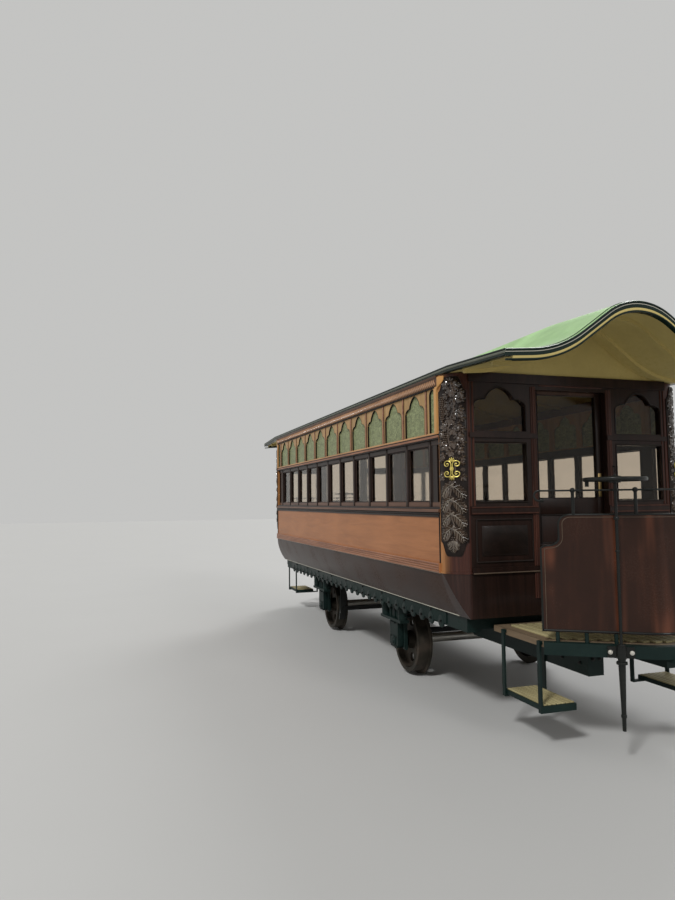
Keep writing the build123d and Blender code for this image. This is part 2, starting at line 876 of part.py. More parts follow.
def make_axle_boxes():
    """The axle boxes in their casings, with the two springs that stand on each."""
    inner = wheel_face + box_hub_gap
    outer = guard_outer + box_proud
    wing_inner = guard_outer + wing_gap
    reach = spring_offset + spring_radius
    shape = block(-box_half_width, box_half_width, inner, outer,
                  axle_z - box_half_height, axle_z + box_half_height)
    shape += block(-reach, reach, wing_inner, wing_inner + 2 * spring_radius,
                   spring_bottom - spring_plate, spring_bottom)
    shape += block(-casing_half_width, casing_half_width, wing_inner, outer,
                   axle_z - casing_drop, solebar_bottom)
    for side in (-1, 1):
        shape += Pos(side * spring_offset, wing_inner + spring_radius) * standing(
            spring_radius, spring_bottom, solebar_bottom)
    shape -= rod((0, inner - wing_gap, axle_z), (0, journal_end + bore_end_gap, axle_z),
                 journal_radius + bore_clearance)
    boxes = []
    for side in (-1, 1):
        box = Pos(side * axle_half_spacing, 0, 0) * shape
        boxes += [box, other_side(box)]
    return Compound(boxes)


def make_brake_gear():
    """Brake shoes on their hangers inside the wheelbase, with a beam across each pair."""
    inner = wheel_tread_radius + shoe_clearance
    outer = inner + shoe_thick
    slope = radians(shoe_half_angle)
    rise = outer * sin(slope)
    shoe_face = (Circle(outer) - Circle(inner)) & panel(-outer, -inner * cos(slope), -rise, rise)
    tread_mid = wheel_face - tread_width / 2
    near = tread_mid - shoe_width / 2
    far = tread_mid + shoe_width / 2
    shoe = across(Pos(0, axle_z) * shoe_face, near, far)
    hanger_x = shoe_lap - outer - hanger_width / 2
    one_side = shoe + block(hanger_x - hanger_width / 2, hanger_x + hanger_width / 2, near, far,
                            axle_z - hanger_drop, rocker_bottom - cross_bearer_depth)
    beam_x = hanger_x - brake_beam_inset
    half = brake_beam_size / 2
    beam = block(beam_x - half, beam_x + half, -tread_mid, tread_mid,
                 axle_z - half, axle_z + half)
    pair = Pos(axle_half_spacing, 0, 0) * (one_side + other_side(one_side) + beam)
    return Compound([pair, other_end(pair)])


def make_platform_floor():
    """The floor of the positive platform, inside the bow."""
    end, touch, nose = dash_points(0.0)
    plan = make_face([
        Line((bulkhead_inner_x, -platform_half_width), (end[0], -end[1])),
        Line((end[0], -end[1]), (touch[0], -touch[1])),
        ThreePointArc((touch[0], -touch[1]), nose, touch),
        Line(touch, end),
        Line(end, (bulkhead_inner_x, platform_half_width)),
        Line((bulkhead_inner_x, platform_half_width), (bulkhead_inner_x, -platform_half_width)),
    ])
    return upright(plan, platform_under, platform_top)


def make_bumper_beam():
    """The bow-shaped beam round the positive platform with its draw plate and pillars."""
    beam = upright(bow_band(0.0, beam_width), beam_bottom, platform_top)
    _, _, nose = dash_points(beam_width)
    tip = nose[0] + draw_plate_reach
    plate = block(tip - draw_plate_length, tip, -draw_plate_width / 2, draw_plate_width / 2,
                  beam_bottom - draw_plate_thick, beam_bottom)
    plate -= Pos(tip - draw_pin_inset, 0) * standing(
        draw_pin_radius, beam_bottom - 2 * draw_plate_thick, beam_bottom + draw_plate_thick)
    beam += plate
    for share in pillar_along:
        x, y = bow_place(share, dash_offset)
        for side in (-1, 1):
            beam += rod((x, side * y, platform_top), (x, side * y, dash_bottom), pillar_radius)
    return beam


def make_dash():
    """The curved dash of the positive platform, with its shouldered ends."""
    sheet = upright(bow_band(dash_offset - dash_thick / 2, dash_offset + dash_thick / 2),
                    dash_bottom, dash_top)
    outside = platform_half_width + dash_notch
    above = dash_top + dash_thick
    neck = platform_half_width - dash_notch
    ledge = neck + dash_cove_radius
    round_start = neck - dash_shoulder_round
    cove = radians(45)
    shoulder_z = dash_top - dash_shoulder_drop + dash_cove_radius
    low = shoulder_z - dash_end_round
    edge = ledge + dash_end_round
    corner = make_face([
        Line((outside, above), (round_start, above)),
        Line((round_start, above), (round_start, dash_top)),
        ThreePointArc((round_start, dash_top),
                      (round_start + dash_shoulder_round * sin(cove),
                       dash_top - dash_shoulder_round * (1 - cos(cove))),
                      (neck, dash_top - dash_shoulder_round)),
        Line((neck, dash_top - dash_shoulder_round), (neck, shoulder_z + dash_cove_radius)),
        ThreePointArc((neck, shoulder_z + dash_cove_radius),
                      (ledge - dash_cove_radius * cos(cove),
                       shoulder_z + dash_cove_radius * (1 - sin(cove))), (ledge, shoulder_z)),
        ThreePointArc((ledge, shoulder_z),
                      (ledge + dash_end_round * sin(cove),
                       shoulder_z - dash_end_round * (1 - cos(cove))), (edge, low)),
        Line((edge, low), (outside, low)),
        Line((outside, low), (outside, above)),
    ])
    _, touch, _ = dash_points(0.0)
    cutter = along(corner, dash_end_x - dash_notch, touch[0] + dash_notch)
    return sheet - cutter - other_side(cutter)


def make_scroll():
    """The curled end of the hand rail, from its own start, with outwards along +X."""
    section = Plane.YZ * (Pos(0, scroll_radius) * Circle(scroll_bar_radius))
    curl = revolve(section, Axis.Y, scroll_turn)
    turn = radians(scroll_turn)
    ball = Pos(scroll_radius * sin(turn), 0, scroll_radius * cos(turn))
    return Pos(0, 0, -scroll_radius) * (curl + ball * Sphere(scroll_ball_radius))


def make_dash_rail():
    """The hand rail above the dash, on stanchions with ball finials, with curled ends."""
    end, touch, nose = dash_points(dash_offset)
    path = (Line((end[0], -end[1]), (touch[0], -touch[1]))
            + ThreePointArc((touch[0], -touch[1]), nose, touch) + Line(touch, end))
    wire = Pos(0, 0, rail_height) * path
    start = Plane(origin=(end[0], -end[1], rail_height),
                  z_dir=(touch[0] - end[0], end[1] - touch[1], 0))
    rail = sweep(start * Circle(rail_radius), wire)
    scroll = Pos(end[0], end[1], rail_height) * Rot(0, 0, 180 - dash_flank_angle) * make_scroll()
    rail += scroll
    rail += other_side(scroll)
    for side in (-1, 1):
        for share in stanchion_along:
            x, y = bow_place(share, dash_offset)
            rail += rod((x, side * y, dash_top), (x, side * y, rail_height), stanchion_radius)
            rail += Pos(x, side * y, rail_height) * Sphere(finial_radius)
    return rail


def make_brake_column():
    """The brake column of the positive platform with its handwheel and bracket."""
    flank = radians(dash_flank_angle)
    end, _, _ = dash_points(beam_width)
    x = end[0] + (end[1] - column_y) / tan(flank) + column_offset / sin(flank)
    reach = handwheel_radius - rim_width / 2
    rim_section = Pos(reach, handwheel_height) * RectangleRounded(rim_width, rim_height, rim_round)
    low = beam_bottom + bracket_inset
    high = platform_top - bracket_inset
    shape = standing(column_radius, low, handwheel_height)
    shape += Pos(0, 0, column_foot_height) * Cone(
        column_tip_radius, column_socket_radius, low - column_foot_height,
        align=(Align.CENTER, Align.CENTER, Align.MIN))
    shape += revolve(Plane.XZ * rim_section, Axis.Z, 360)
    shape += standing(hub_cap_radius, handwheel_height - hub_cap_height / 2,
                      handwheel_height + hub_cap_height / 2)
    for spoke in range(handwheel_spokes):
        angle = radians(45 + 360 / handwheel_spokes * spoke)
        tip = (reach * cos(angle), reach * sin(angle), handwheel_height)
        shape += rod((0, 0, handwheel_height), tip, spoke_radius)
    grip_angle = radians(-(90 + dash_flank_angle))
    grip = Pos(reach * cos(grip_angle), reach * sin(grip_angle))
    shape += grip * standing(grip_radius, handwheel_height - grip_drop, handwheel_height)
    bracket = standing(column_boss_radius, low, platform_top + bracket_inset)
    bracket += block(-column_offset, 0, -column_boss_radius, column_boss_radius, low, high)
    bracket += block(-column_offset, bracket_thick - column_offset, -bracket_length / 2,
                     bracket_length / 2, low, high)
    shape += Rot(0, 0, dash_flank_angle - 90) * bracket
    return Pos(x, -column_y, 0) * shape


def make_steps():
    """The two steps of the positive platform, hung on outer irons and a hanger at the back."""
    inner = bearer_outer + step_side_gap
    outer = platform_half_width + step_iron_gap
    iron_outer = outer + step_iron_thick
    back = body_half_length + step_back_gap
    front = dash_end_x - step_front_gap
    under = step_top - step_thick
    bar_low = under - step_bar_thick
    top = platform_top - step_iron_lap
    shape = block(back, front, inner, outer, under, step_top)
    for x in (back, front - step_iron_width):
        far = x + step_iron_width
        shape += block(x, far, outer, iron_outer, bar_low, top)
        shape += block(x, far, platform_half_width, iron_outer,
                       top - platform_floor_thick / 2, top)
        shape += block(x, far, inner, iron_outer, bar_low, under)
    far = back + step_iron_width
    shape += block(back, far, bearer_outer, inner, bar_low, under)
    shape += block(back, far, bearer_outer, bearer_outer + step_iron_thick,
                   bar_low, bearer_bottom + step_hanger_lap)
    return Compound([shape, other_side(shape)])


nodes = {}


def keep(name, shape):
    """Names a finished piece."""
    shape.label = name
    nodes[name] = shape


keep("underframe", make_underframe())
keep("saloon_floor", make_saloon_floor())
keep("axle_guards", make_guards())
keep("axle_boxes", make_axle_boxes())
keep("brake_gear", make_brake_gear())
for end_name, sign in (("front", 1), ("rear", -1)):
    keep(end_name + "_wheels", make_wheels(sign * axle_half_spacing))
    keep(end_name + "_axle", make_axle(sign * axle_half_spacing))

side_makers = {
    "rocker_panel": make_rocker,
    "waist_panel": make_waist_panel,
    "window_frame": make_window_frame,
    "arch_board": make_arch_board,
    "cornice": make_cornice,
    "seat": make_seat,
}
for name, make in side_makers.items():
    left = make()
    keep(name + "_left", left)
    keep(name + "_right", other_side(left))

half_turn = Rot(0, 0, 180)
end_makers = {
    "bulkhead": make_bulkhead,
    "end_board": make_end_board,
    "door": make_door,
    "door_glass": make_door_glass,
    "platform_floor": make_platform_floor,
    "bumper_beam": make_bumper_beam,
    "dash": make_dash,
    "dash_rail": make_dash_rail,
    "brake_column": make_brake_column,
    "steps": make_steps,
}
for name, make in end_makers.items():
    front = make()
    keep(name + "_front", front)
    keep(name + "_rear", half_turn * front)

corner = make_corner_post()
keep("corner_post_front_left", corner)
keep("corner_post_front_right", other_side(corner))
keep("corner_post_rear_left", half_turn * other_side(corner))
keep("corner_post_rear_right", half_turn * corner)

keep("lower_lights", make_lower_lights())
keep("upper_lights", make_upper_lights())
keep("bulkhead_lights", make_bulkhead_lights())
keep("roof", make_roof())
keep("roof_sticks", make_roof_sticks())

os.makedirs("parts", exist_ok=True)
for name, shape in nodes.items():
    export_step(shape, "parts/" + name + ".step")
    print(name, len(shape.solids()))
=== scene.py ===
"""Looks of a four-wheel single-deck horse tram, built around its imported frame, in metres."""
from __future__ import annotations

import logging
import math
import random
from collections.abc import Callable, Iterable
from dataclasses import dataclass, field
from enum import Enum
from functools import cache

import bmesh
import bpy
from mathutils import Matrix, Vector


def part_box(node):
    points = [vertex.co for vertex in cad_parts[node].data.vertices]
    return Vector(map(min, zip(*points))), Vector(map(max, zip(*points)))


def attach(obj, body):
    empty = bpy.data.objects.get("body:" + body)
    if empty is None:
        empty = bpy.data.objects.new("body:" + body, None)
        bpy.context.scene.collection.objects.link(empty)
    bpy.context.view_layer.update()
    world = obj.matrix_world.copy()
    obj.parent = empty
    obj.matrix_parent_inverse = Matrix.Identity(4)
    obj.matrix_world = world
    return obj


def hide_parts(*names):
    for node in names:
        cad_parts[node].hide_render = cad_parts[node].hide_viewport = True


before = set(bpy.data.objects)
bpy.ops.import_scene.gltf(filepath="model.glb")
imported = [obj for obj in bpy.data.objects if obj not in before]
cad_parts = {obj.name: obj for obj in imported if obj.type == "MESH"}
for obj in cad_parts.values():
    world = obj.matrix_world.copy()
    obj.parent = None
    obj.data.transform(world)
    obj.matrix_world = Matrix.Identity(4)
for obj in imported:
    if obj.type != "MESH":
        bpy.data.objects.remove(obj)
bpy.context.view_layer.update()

log = logging.getLogger("tram")

Triple = tuple[float, float, float]
Colour = Triple
Point = Vector | Triple
Flat = tuple[float, float]
Profile = list[Flat]
Socket = bpy.types.NodeSocket

SIDES = (1, -1)
ENDS = {1: "front", -1: "rear"}
AHEAD = Vector((1, 0, 0))
ACROSS = Vector((0, 1, 0))
UP = Vector((0, 0, 1))
SMOOTH_ANGLE = math.radians(38)


def sides(stem: str) -> tuple[str, str]:
    """The two node names of a piece that each side of the car has."""
    return stem + "_left", stem + "_right"


def ends(stem: str) -> tuple[str, str]:
    """The two node names of a piece that each end of the car has."""
    return stem + "_front", stem + "_rear"


def scaled(colour: Colour, share: float) -> Colour:
    """A colour made darker or paler."""
    return tuple(min(1.0, share * c) for c in colour)


def spot(end: int, x: float, y: float, z: float) -> Vector:
    """A point of the positive end, carried to either end by a half turn."""
    return Vector((end * x, end * y, z))


class Grain(Enum):
    """The axis of the car that a timber's grain runs along."""

    LENGTHWISE = (1.0, 9.0, 9.0)
    UPRIGHT = (9.0, 9.0, 1.0)


@dataclass(frozen=True)
class Layout:
    """Places that several sub-assemblies share, in metres, read from the frame."""

    side: float
    straight: float
    end: float
    rocker_low: float
    rocker_top: float
    waist_top: float
    light_low: float
    light_top: float
    band_top: float
    arch_low: float
    arch_tip: float
    cornice_low: float
    cornice_top: float
    canopy: float
    eave: float
    platform: float
    dash_low: float
    dash_top: float
    axle_x: float
    axle_z: float
    bay: float = 0.470
    bays: int = 11
    corner: float = 0.170
    mould: float = 0.075
    sill: float = 0.060
    band: float = 0.038
    frame_recess: float = 0.030
    post: float = 0.062
    rib: float = 0.084
    droop: float = 0.043
    wall: float = 0.055
    glass: float = 0.006

    def fall(self, x: float) -> float:
        """How far the canopy has drooped at a place along the car."""
        return self.droop * max(0.0, abs(x) - self.end) / (self.canopy - self.end)

    @classmethod
    def read(cls) -> Layout:
        """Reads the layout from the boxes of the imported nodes.

        Returns:
            The layout of this car.
        """
        board, rocker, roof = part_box("arch_board_left"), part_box("rocker_panel_left"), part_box("roof")
        lower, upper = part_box("lower_lights"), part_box("upper_lights")
        cornice, dash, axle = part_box("cornice_left"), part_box("dash_front"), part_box("front_axle")
        return cls(
            side=board[1].y,
            straight=board[1].x,
            end=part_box("bulkhead_lights")[1].x + 0.5 * (cls.wall - cls.glass),
            rocker_low=rocker[0].z,
            rocker_top=rocker[1].z,
            waist_top=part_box("waist_panel_left")[1].z,
            light_low=lower[0].z,
            light_top=lower[1].z,
            band_top=board[0].z,
            arch_low=upper[0].z,
            arch_tip=upper[1].z,
            cornice_low=cornice[0].z,
            cornice_top=cornice[1].z,
            canopy=roof[1].x,
            eave=roof[1].y,
            platform=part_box("platform_floor_front")[1].z,
            dash_low=dash[0].z,
            dash_top=dash[1].z,
            axle_x=(axle[0].x + axle[1].x) / 2,
            axle_z=(axle[0].z + axle[1].z) / 2,
        )

    def bay_centres(self) -> list[float]:
        """The middle of each window bay along the side."""
        return [self.bay * (bay + 0.5 - self.bays / 2) for bay in range(self.bays)]

    def bay_edges(self) -> list[float]:
        """The line between neighbouring bays, and the two ends of the row."""
        return [self.bay * (bay - self.bays / 2) for bay in range(self.bays + 1)]


class Sheet:
    """A material under construction, with short calls for the nodes it is made of."""

    def __init__(self, name: str) -> None:
        """Starts a material with one Principled shader.

        Args:
            name: the material's name.
        """
        self.material = bpy.data.materials.new(name)
        self.material.use_nodes = True
        self.tree = self.material.node_tree
        self.shader = self.tree.nodes["Principled BSDF"]
        self.where = self.tree.nodes.new("ShaderNodeTexCoord").outputs["Object"]

    def feed(self, socket: Socket, value: object) -> None:
        """Links a socket to another, or writes a plain value on it.

        Args:
            socket: the input that is fed.
            value: an output of a node, a number, a vector or a colour.
        """
        if isinstance(value, bpy.types.NodeSocket):
            self.tree.links.new(value, socket)
        elif socket.type == "RGBA":
            socket.default_value = (*value, 1.0)
        else:
            socket.default_value = value

    def set(self, **values: object) -> None:
        """Sets sockets of the shader, named with underscores for spaces."""
        for name, value in values.items():
            self.feed(self.shader.inputs[name.replace("_", " ")], value)

    def node(self, kind: str, out: str | int, inputs: dict[str | int, object],
             **settings: object) -> Socket:
        """Adds a node.

        Args:
            kind: the node's type, without its common prefix.
            out: the output that is asked for.
            inputs: what its inputs are fed.
            settings: its own settings.

        Returns:
            The output.
        """
        node = self.tree.nodes.new("ShaderNode" + kind)
        for name, value in settings.items():
            setattr(node, name, value)
        for name, value in inputs.items():
            self.feed(node.inputs[name], value)
        return node.outputs[out]

    def mapped(self, *scale: float) -> Socket:
        """Object coordinates, with how often a pattern repeats per metre along each axis."""
        return self.node("Mapping", "Vector", {"Vector": self.where, "Scale": scale})

    def noise(self, where: Socket, scale: float, detail: float = 4.0, rough: float = 0.55,
              distortion: float = 0.0) -> Socket:
        """A noise between 0 and 1 at a place."""
        return self.node("TexNoise", "Fac", {"Vector": where, "Scale": scale, "Detail": detail,
                                             "Roughness": rough, "Distortion": distortion})

    def ramp(self, factor: Socket, low: float, high: float) -> Socket:
        """A factor stretched so that low becomes 0 and high becomes 1, with soft ends."""
        return self.node("MapRange", "Result", {"Value": factor, "From Min": low, "From Max": high},
                         interpolation_type="SMOOTHSTEP")

    def spread(self, factor: Socket, low: float, high: float) -> Socket:
        """A factor from 0 to 1 turned into a value from low to high."""
        return self.node("MapRange", "Result", {"Value": factor, "To Min": low, "To Max": high})

    def mix(self, factor: object, first: object, second: object, blend: str = "MIX") -> Socket:
        """A mix of two colours."""
        return self.node("Mix", 2, {"Factor": factor, 6: first, 7: second}, data_type="RGBA",
                         blend_type=blend)

    def maths(self, operation: str, first: object, second: object = 0.0) -> Socket:
        """One sum, product or other operation of two numbers."""
        return self.node("Math", 0, {0: first, 1: second}, operation=operation)

    def times(self, first: object, second: object) -> Socket:
        """The product of two numbers."""
        return self.maths("MULTIPLY", first, second)

    def blend(self, first: Socket, second: Socket, share: float) -> Socket:
        """A sum of two numbers, of which the first has a given share."""
        return self.maths("ADD", self.times(first, share), self.times(second, 1 - share))

    def axis(self, letter: str) -> Socket:
        """One of the three coordinates of the surface's place."""
        return self.node("SeparateXYZ", letter, {0: self.where})

    def bump(self, height: Socket, distance: float, strength: float) -> Socket:
        """A normal changed by a relief from 0 to 1, of so many metres and a share of them."""
        return self.node("Bump", "Normal", {"Strength": strength, "Distance": distance,
                                            "Height": height})


@dataclass(frozen=True)
class Timber:
    """Varnished or painted wood whose grain shows, in boards where a board's width is given."""

    name: str
    light: Colour
    dark: Colour
    grain: Grain = Grain.LENGTHWISE
    figure: float = 1.0
    roughness: float = 0.36
    coat: float = 0.08
    specular: float = 0.16
    board: float = 0.0

    def make(self) -> bpy.types.Material:
        """Makes the material.

        Returns:
            The timber as a Blender material.
        """
        sheet = Sheet(self.name)
        stretch = self.grain.value
        broad = sheet.mapped(*(0.9 * s for s in stretch))
        fine = sheet.mapped(*(12.0 * s if s > 1.0 else 3.0 for s in stretch))
        figure = sheet.noise(broad, 1.6, 6.0, 0.6, 1.1)
        streak = sheet.noise(fine, 1.0, 5.0, 0.7)
        cloud = sheet.noise(sheet.where, 1.1, 2.0, 0.5)
        contrast = 0.22 / self.figure
        tone = sheet.ramp(sheet.blend(figure, streak, 0.62), 0.5 - contrast, 0.5 + contrast)
        colour = sheet.mix(tone, self.dark, self.light)
        warmth = sheet.times(sheet.ramp(cloud, 0.45, 0.8), 0.45)
        colour = sheet.mix(warmth, colour, scaled(self.light, 1.15))
        height = streak
        if self.board > 0.0:
            place = sheet.maths("DIVIDE", sheet.axis("Y"), self.board)
            share = sheet.maths("FRACT", place)
            gap = sheet.times(sheet.ramp(share, 0.0, 0.035),
                              sheet.ramp(sheet.maths("SUBTRACT", 1.0, share), 0.0, 0.035))
            shade = sheet.maths("FRACT", sheet.times(sheet.maths("FLOOR", place), 0.618))
            colour = sheet.mix(sheet.spread(shade, 0.0, 0.28), colour, self.dark)
            colour = sheet.mix(gap, scaled(self.dark, 0.25), colour)
            height = sheet.maths("ADD", sheet.times(streak, 0.2), gap)
        sheet.set(Base_Color=colour, Coat_Weight=self.coat, Coat_Roughness=0.1,
                  Specular_IOR_Level=self.specular,
                  Roughness=sheet.spread(streak, self.roughness - 0.07, self.roughness + 0.12),
                  Normal=sheet.bump(height, 0.003 if self.board > 0.0 else 0.0006, 0.6))
        return sheet.material


@dataclass(frozen=True)
class Paint:
    """Coach paint over wood or iron, a little uneven, with wear, and sometimes with painted sheen:
    coppery upright streaks that stand in for the lamps' reflections.
    """

    name: str
    colour: Colour
    worn: Colour
    roughness: float = 0.3
    coat: float = 0.06
    specular: float = 0.16
    relief: float = 0.0004
    wear: float = 0.25
    scale: float = 7.0
    # The colour of the painted sheen, a painted reflection in upright streaks, if there is one.
    painted_sheen: Colour | None = None

    def make(self) -> bpy.types.Material:
        """Makes the material.

        Returns:
            The paint as a Blender material.
        """
        sheet = Sheet(self.name)
        cloud = sheet.noise(sheet.where, self.scale * 0.4, 5.0, 0.6)
        speck = sheet.noise(sheet.where, self.scale * 11.0, 4.0, 0.65)
        peel = sheet.noise(sheet.where, self.scale * 60.0, 2.0, 0.5)
        worn = sheet.times(sheet.ramp(cloud, 0.42, 0.75), sheet.ramp(speck, 0.4, 0.7))
        colour = sheet.mix(sheet.ramp(cloud, 0.3, 0.7), scaled(self.colour, 0.72), self.colour)
        colour = sheet.mix(sheet.times(worn, self.wear), colour, self.worn)
        # Painted sheen: soft upright coppery streaks, a painted reflection of the lamps on a curved
        # glossy sheet.
        if self.painted_sheen is not None:
            sheen = sheet.noise(sheet.mapped(4.5, 4.5, 0.5), 1.0, 3.0, 0.55)
            reach = sheet.ramp(sheet.noise(sheet.mapped(1.5, 1.5, 2.0), 1.0, 2.0), 0.30, 0.62)
            colour = sheet.mix(sheet.times(sheet.ramp(sheen, 0.47, 0.74), reach), colour, self.painted_sheen)
        sheet.set(Base_Color=colour, Coat_Weight=self.coat, Coat_Roughness=0.1,
                  Specular_IOR_Level=self.specular,
                  Roughness=sheet.spread(worn, self.roughness, min(0.95, self.roughness + 0.35)),
                  Normal=sheet.bump(sheet.maths("ADD", peel, speck), self.relief, 0.5))
        return sheet.material


@dataclass(frozen=True)
class Glazing:
    """Window glass, clear or obscured by a rolled pattern."""

    name: str
    colour: Colour
    clear: float = 1.0
    pattern: float = 0.0

    def make(self) -> bpy.types.Material:
        """Makes the material.

        Returns:
            The glass as a Blender material.
        """
        sheet = Sheet(self.name)
        sheet.set(Transmission_Weight=self.clear, IOR=1.25, Specular_IOR_Level=0.3)
        if self.pattern > 0.0:
            fern = sheet.node("TexVoronoi", "Distance",
                              {"Vector": sheet.mapped(34.0, 34.0, 22.0), "Scale": 1.0},
                              feature="DISTANCE_TO_EDGE")
            mottle = sheet.noise(sheet.mapped(9.0, 9.0, 14.0), 3.0, 6.0, 0.7, 1.5)
            colour = sheet.mix(sheet.ramp(mottle, 0.35, 0.7), scaled(self.colour, 0.6),
                               scaled(self.colour, 1.5))
            sheet.set(Base_Color=colour, Roughness=sheet.spread(mottle, 0.18, 0.55),
                      Normal=sheet.bump(sheet.maths("ADD", fern, mottle), self.pattern, 0.8))
        else:
            wave = sheet.noise(sheet.mapped(2.2, 2.2, 3.0), 2.0, 3.0, 0.5, 0.6)
            sheet.set(Base_Color=sheet.mix(wave, self.colour, scaled(self.colour, 1.05)),
                      Roughness=sheet.spread(wave, 0.02, 0.05),
                      Normal=sheet.bump(wave, 0.0025, 0.5))
        return sheet.material


@dataclass(frozen=True)
class Metal:
    """Bare or blackened iron, steel, brass or gilding."""

    name: str
    colour: Colour
    rust: Colour
    roughness: float = 0.4
    rusty: float = 0.3
    relief: float = 0.0008
    scale: float = 16.0

    def make(self) -> bpy.types.Material:
        """Makes the material.

        Returns:
            The metal as a Blender material.
        """
        sheet = Sheet(self.name)
        cloud = sheet.noise(sheet.where, self.scale * 0.35, 6.0, 0.62)
        pits = sheet.noise(sheet.where, self.scale * 9.0, 5.0, 0.6)
        rust = sheet.times(sheet.ramp(cloud, 0.38, 0.66), self.rusty)
        tint = sheet.mix(pits, scaled(self.colour, 0.7), self.colour)
        matt = sheet.maths("ADD", rust, sheet.times(pits, 0.3))
        sheet.set(Base_Color=sheet.mix(rust, tint, self.rust),
                  Metallic=sheet.maths("SUBTRACT", 1.0, rust),
                  Roughness=sheet.spread(matt, self.roughness, 0.85),
                  Normal=sheet.bump(pits, self.relief, 0.7))
        return sheet.material


@dataclass(frozen=True)
class CornerTimber:
    """The corner posts' wood: golden on the side, red on the end and maroon at the foot."""

    name: str
    golden: Colour
    dark: Colour
    foot: Colour
    turn_x: float
    foot_z: float
    blend: float = 0.05

    def make(self) -> bpy.types.Material:
        """Makes the material.

        Returns:
            The corner timber as a Blender material.
        """
        sheet = Sheet(self.name)
        streak = sheet.noise(sheet.mapped(60.0, 60.0, 3.0), 1.2, 5.0, 0.65)
        figure = sheet.noise(sheet.mapped(8.0, 8.0, 0.9), 1.5, 5.0, 0.6, 0.8)
        place = sheet.maths("ABSOLUTE", sheet.axis("X"))
        turned = sheet.ramp(place, self.turn_x - self.blend, self.turn_x + self.blend)
        above = sheet.ramp(sheet.axis("Z"), self.foot_z - 0.001, self.foot_z + 0.001)
        base = sheet.mix(above, self.foot, sheet.mix(turned, self.golden, self.dark))
        shade = sheet.mix(1.0, base, (0.48, 0.46, 0.46), "MULTIPLY")
        tone = sheet.ramp(sheet.blend(figure, streak, 0.6), 0.34, 0.66)
        sheet.set(Base_Color=sheet.mix(tone, shade, base), Coat_Weight=0.15, Coat_Roughness=0.1,
                  Specular_IOR_Level=0.2, Roughness=sheet.spread(streak, 0.28, 0.46),
                  Normal=sheet.bump(streak, 0.0006, 0.6))
        return sheet.material


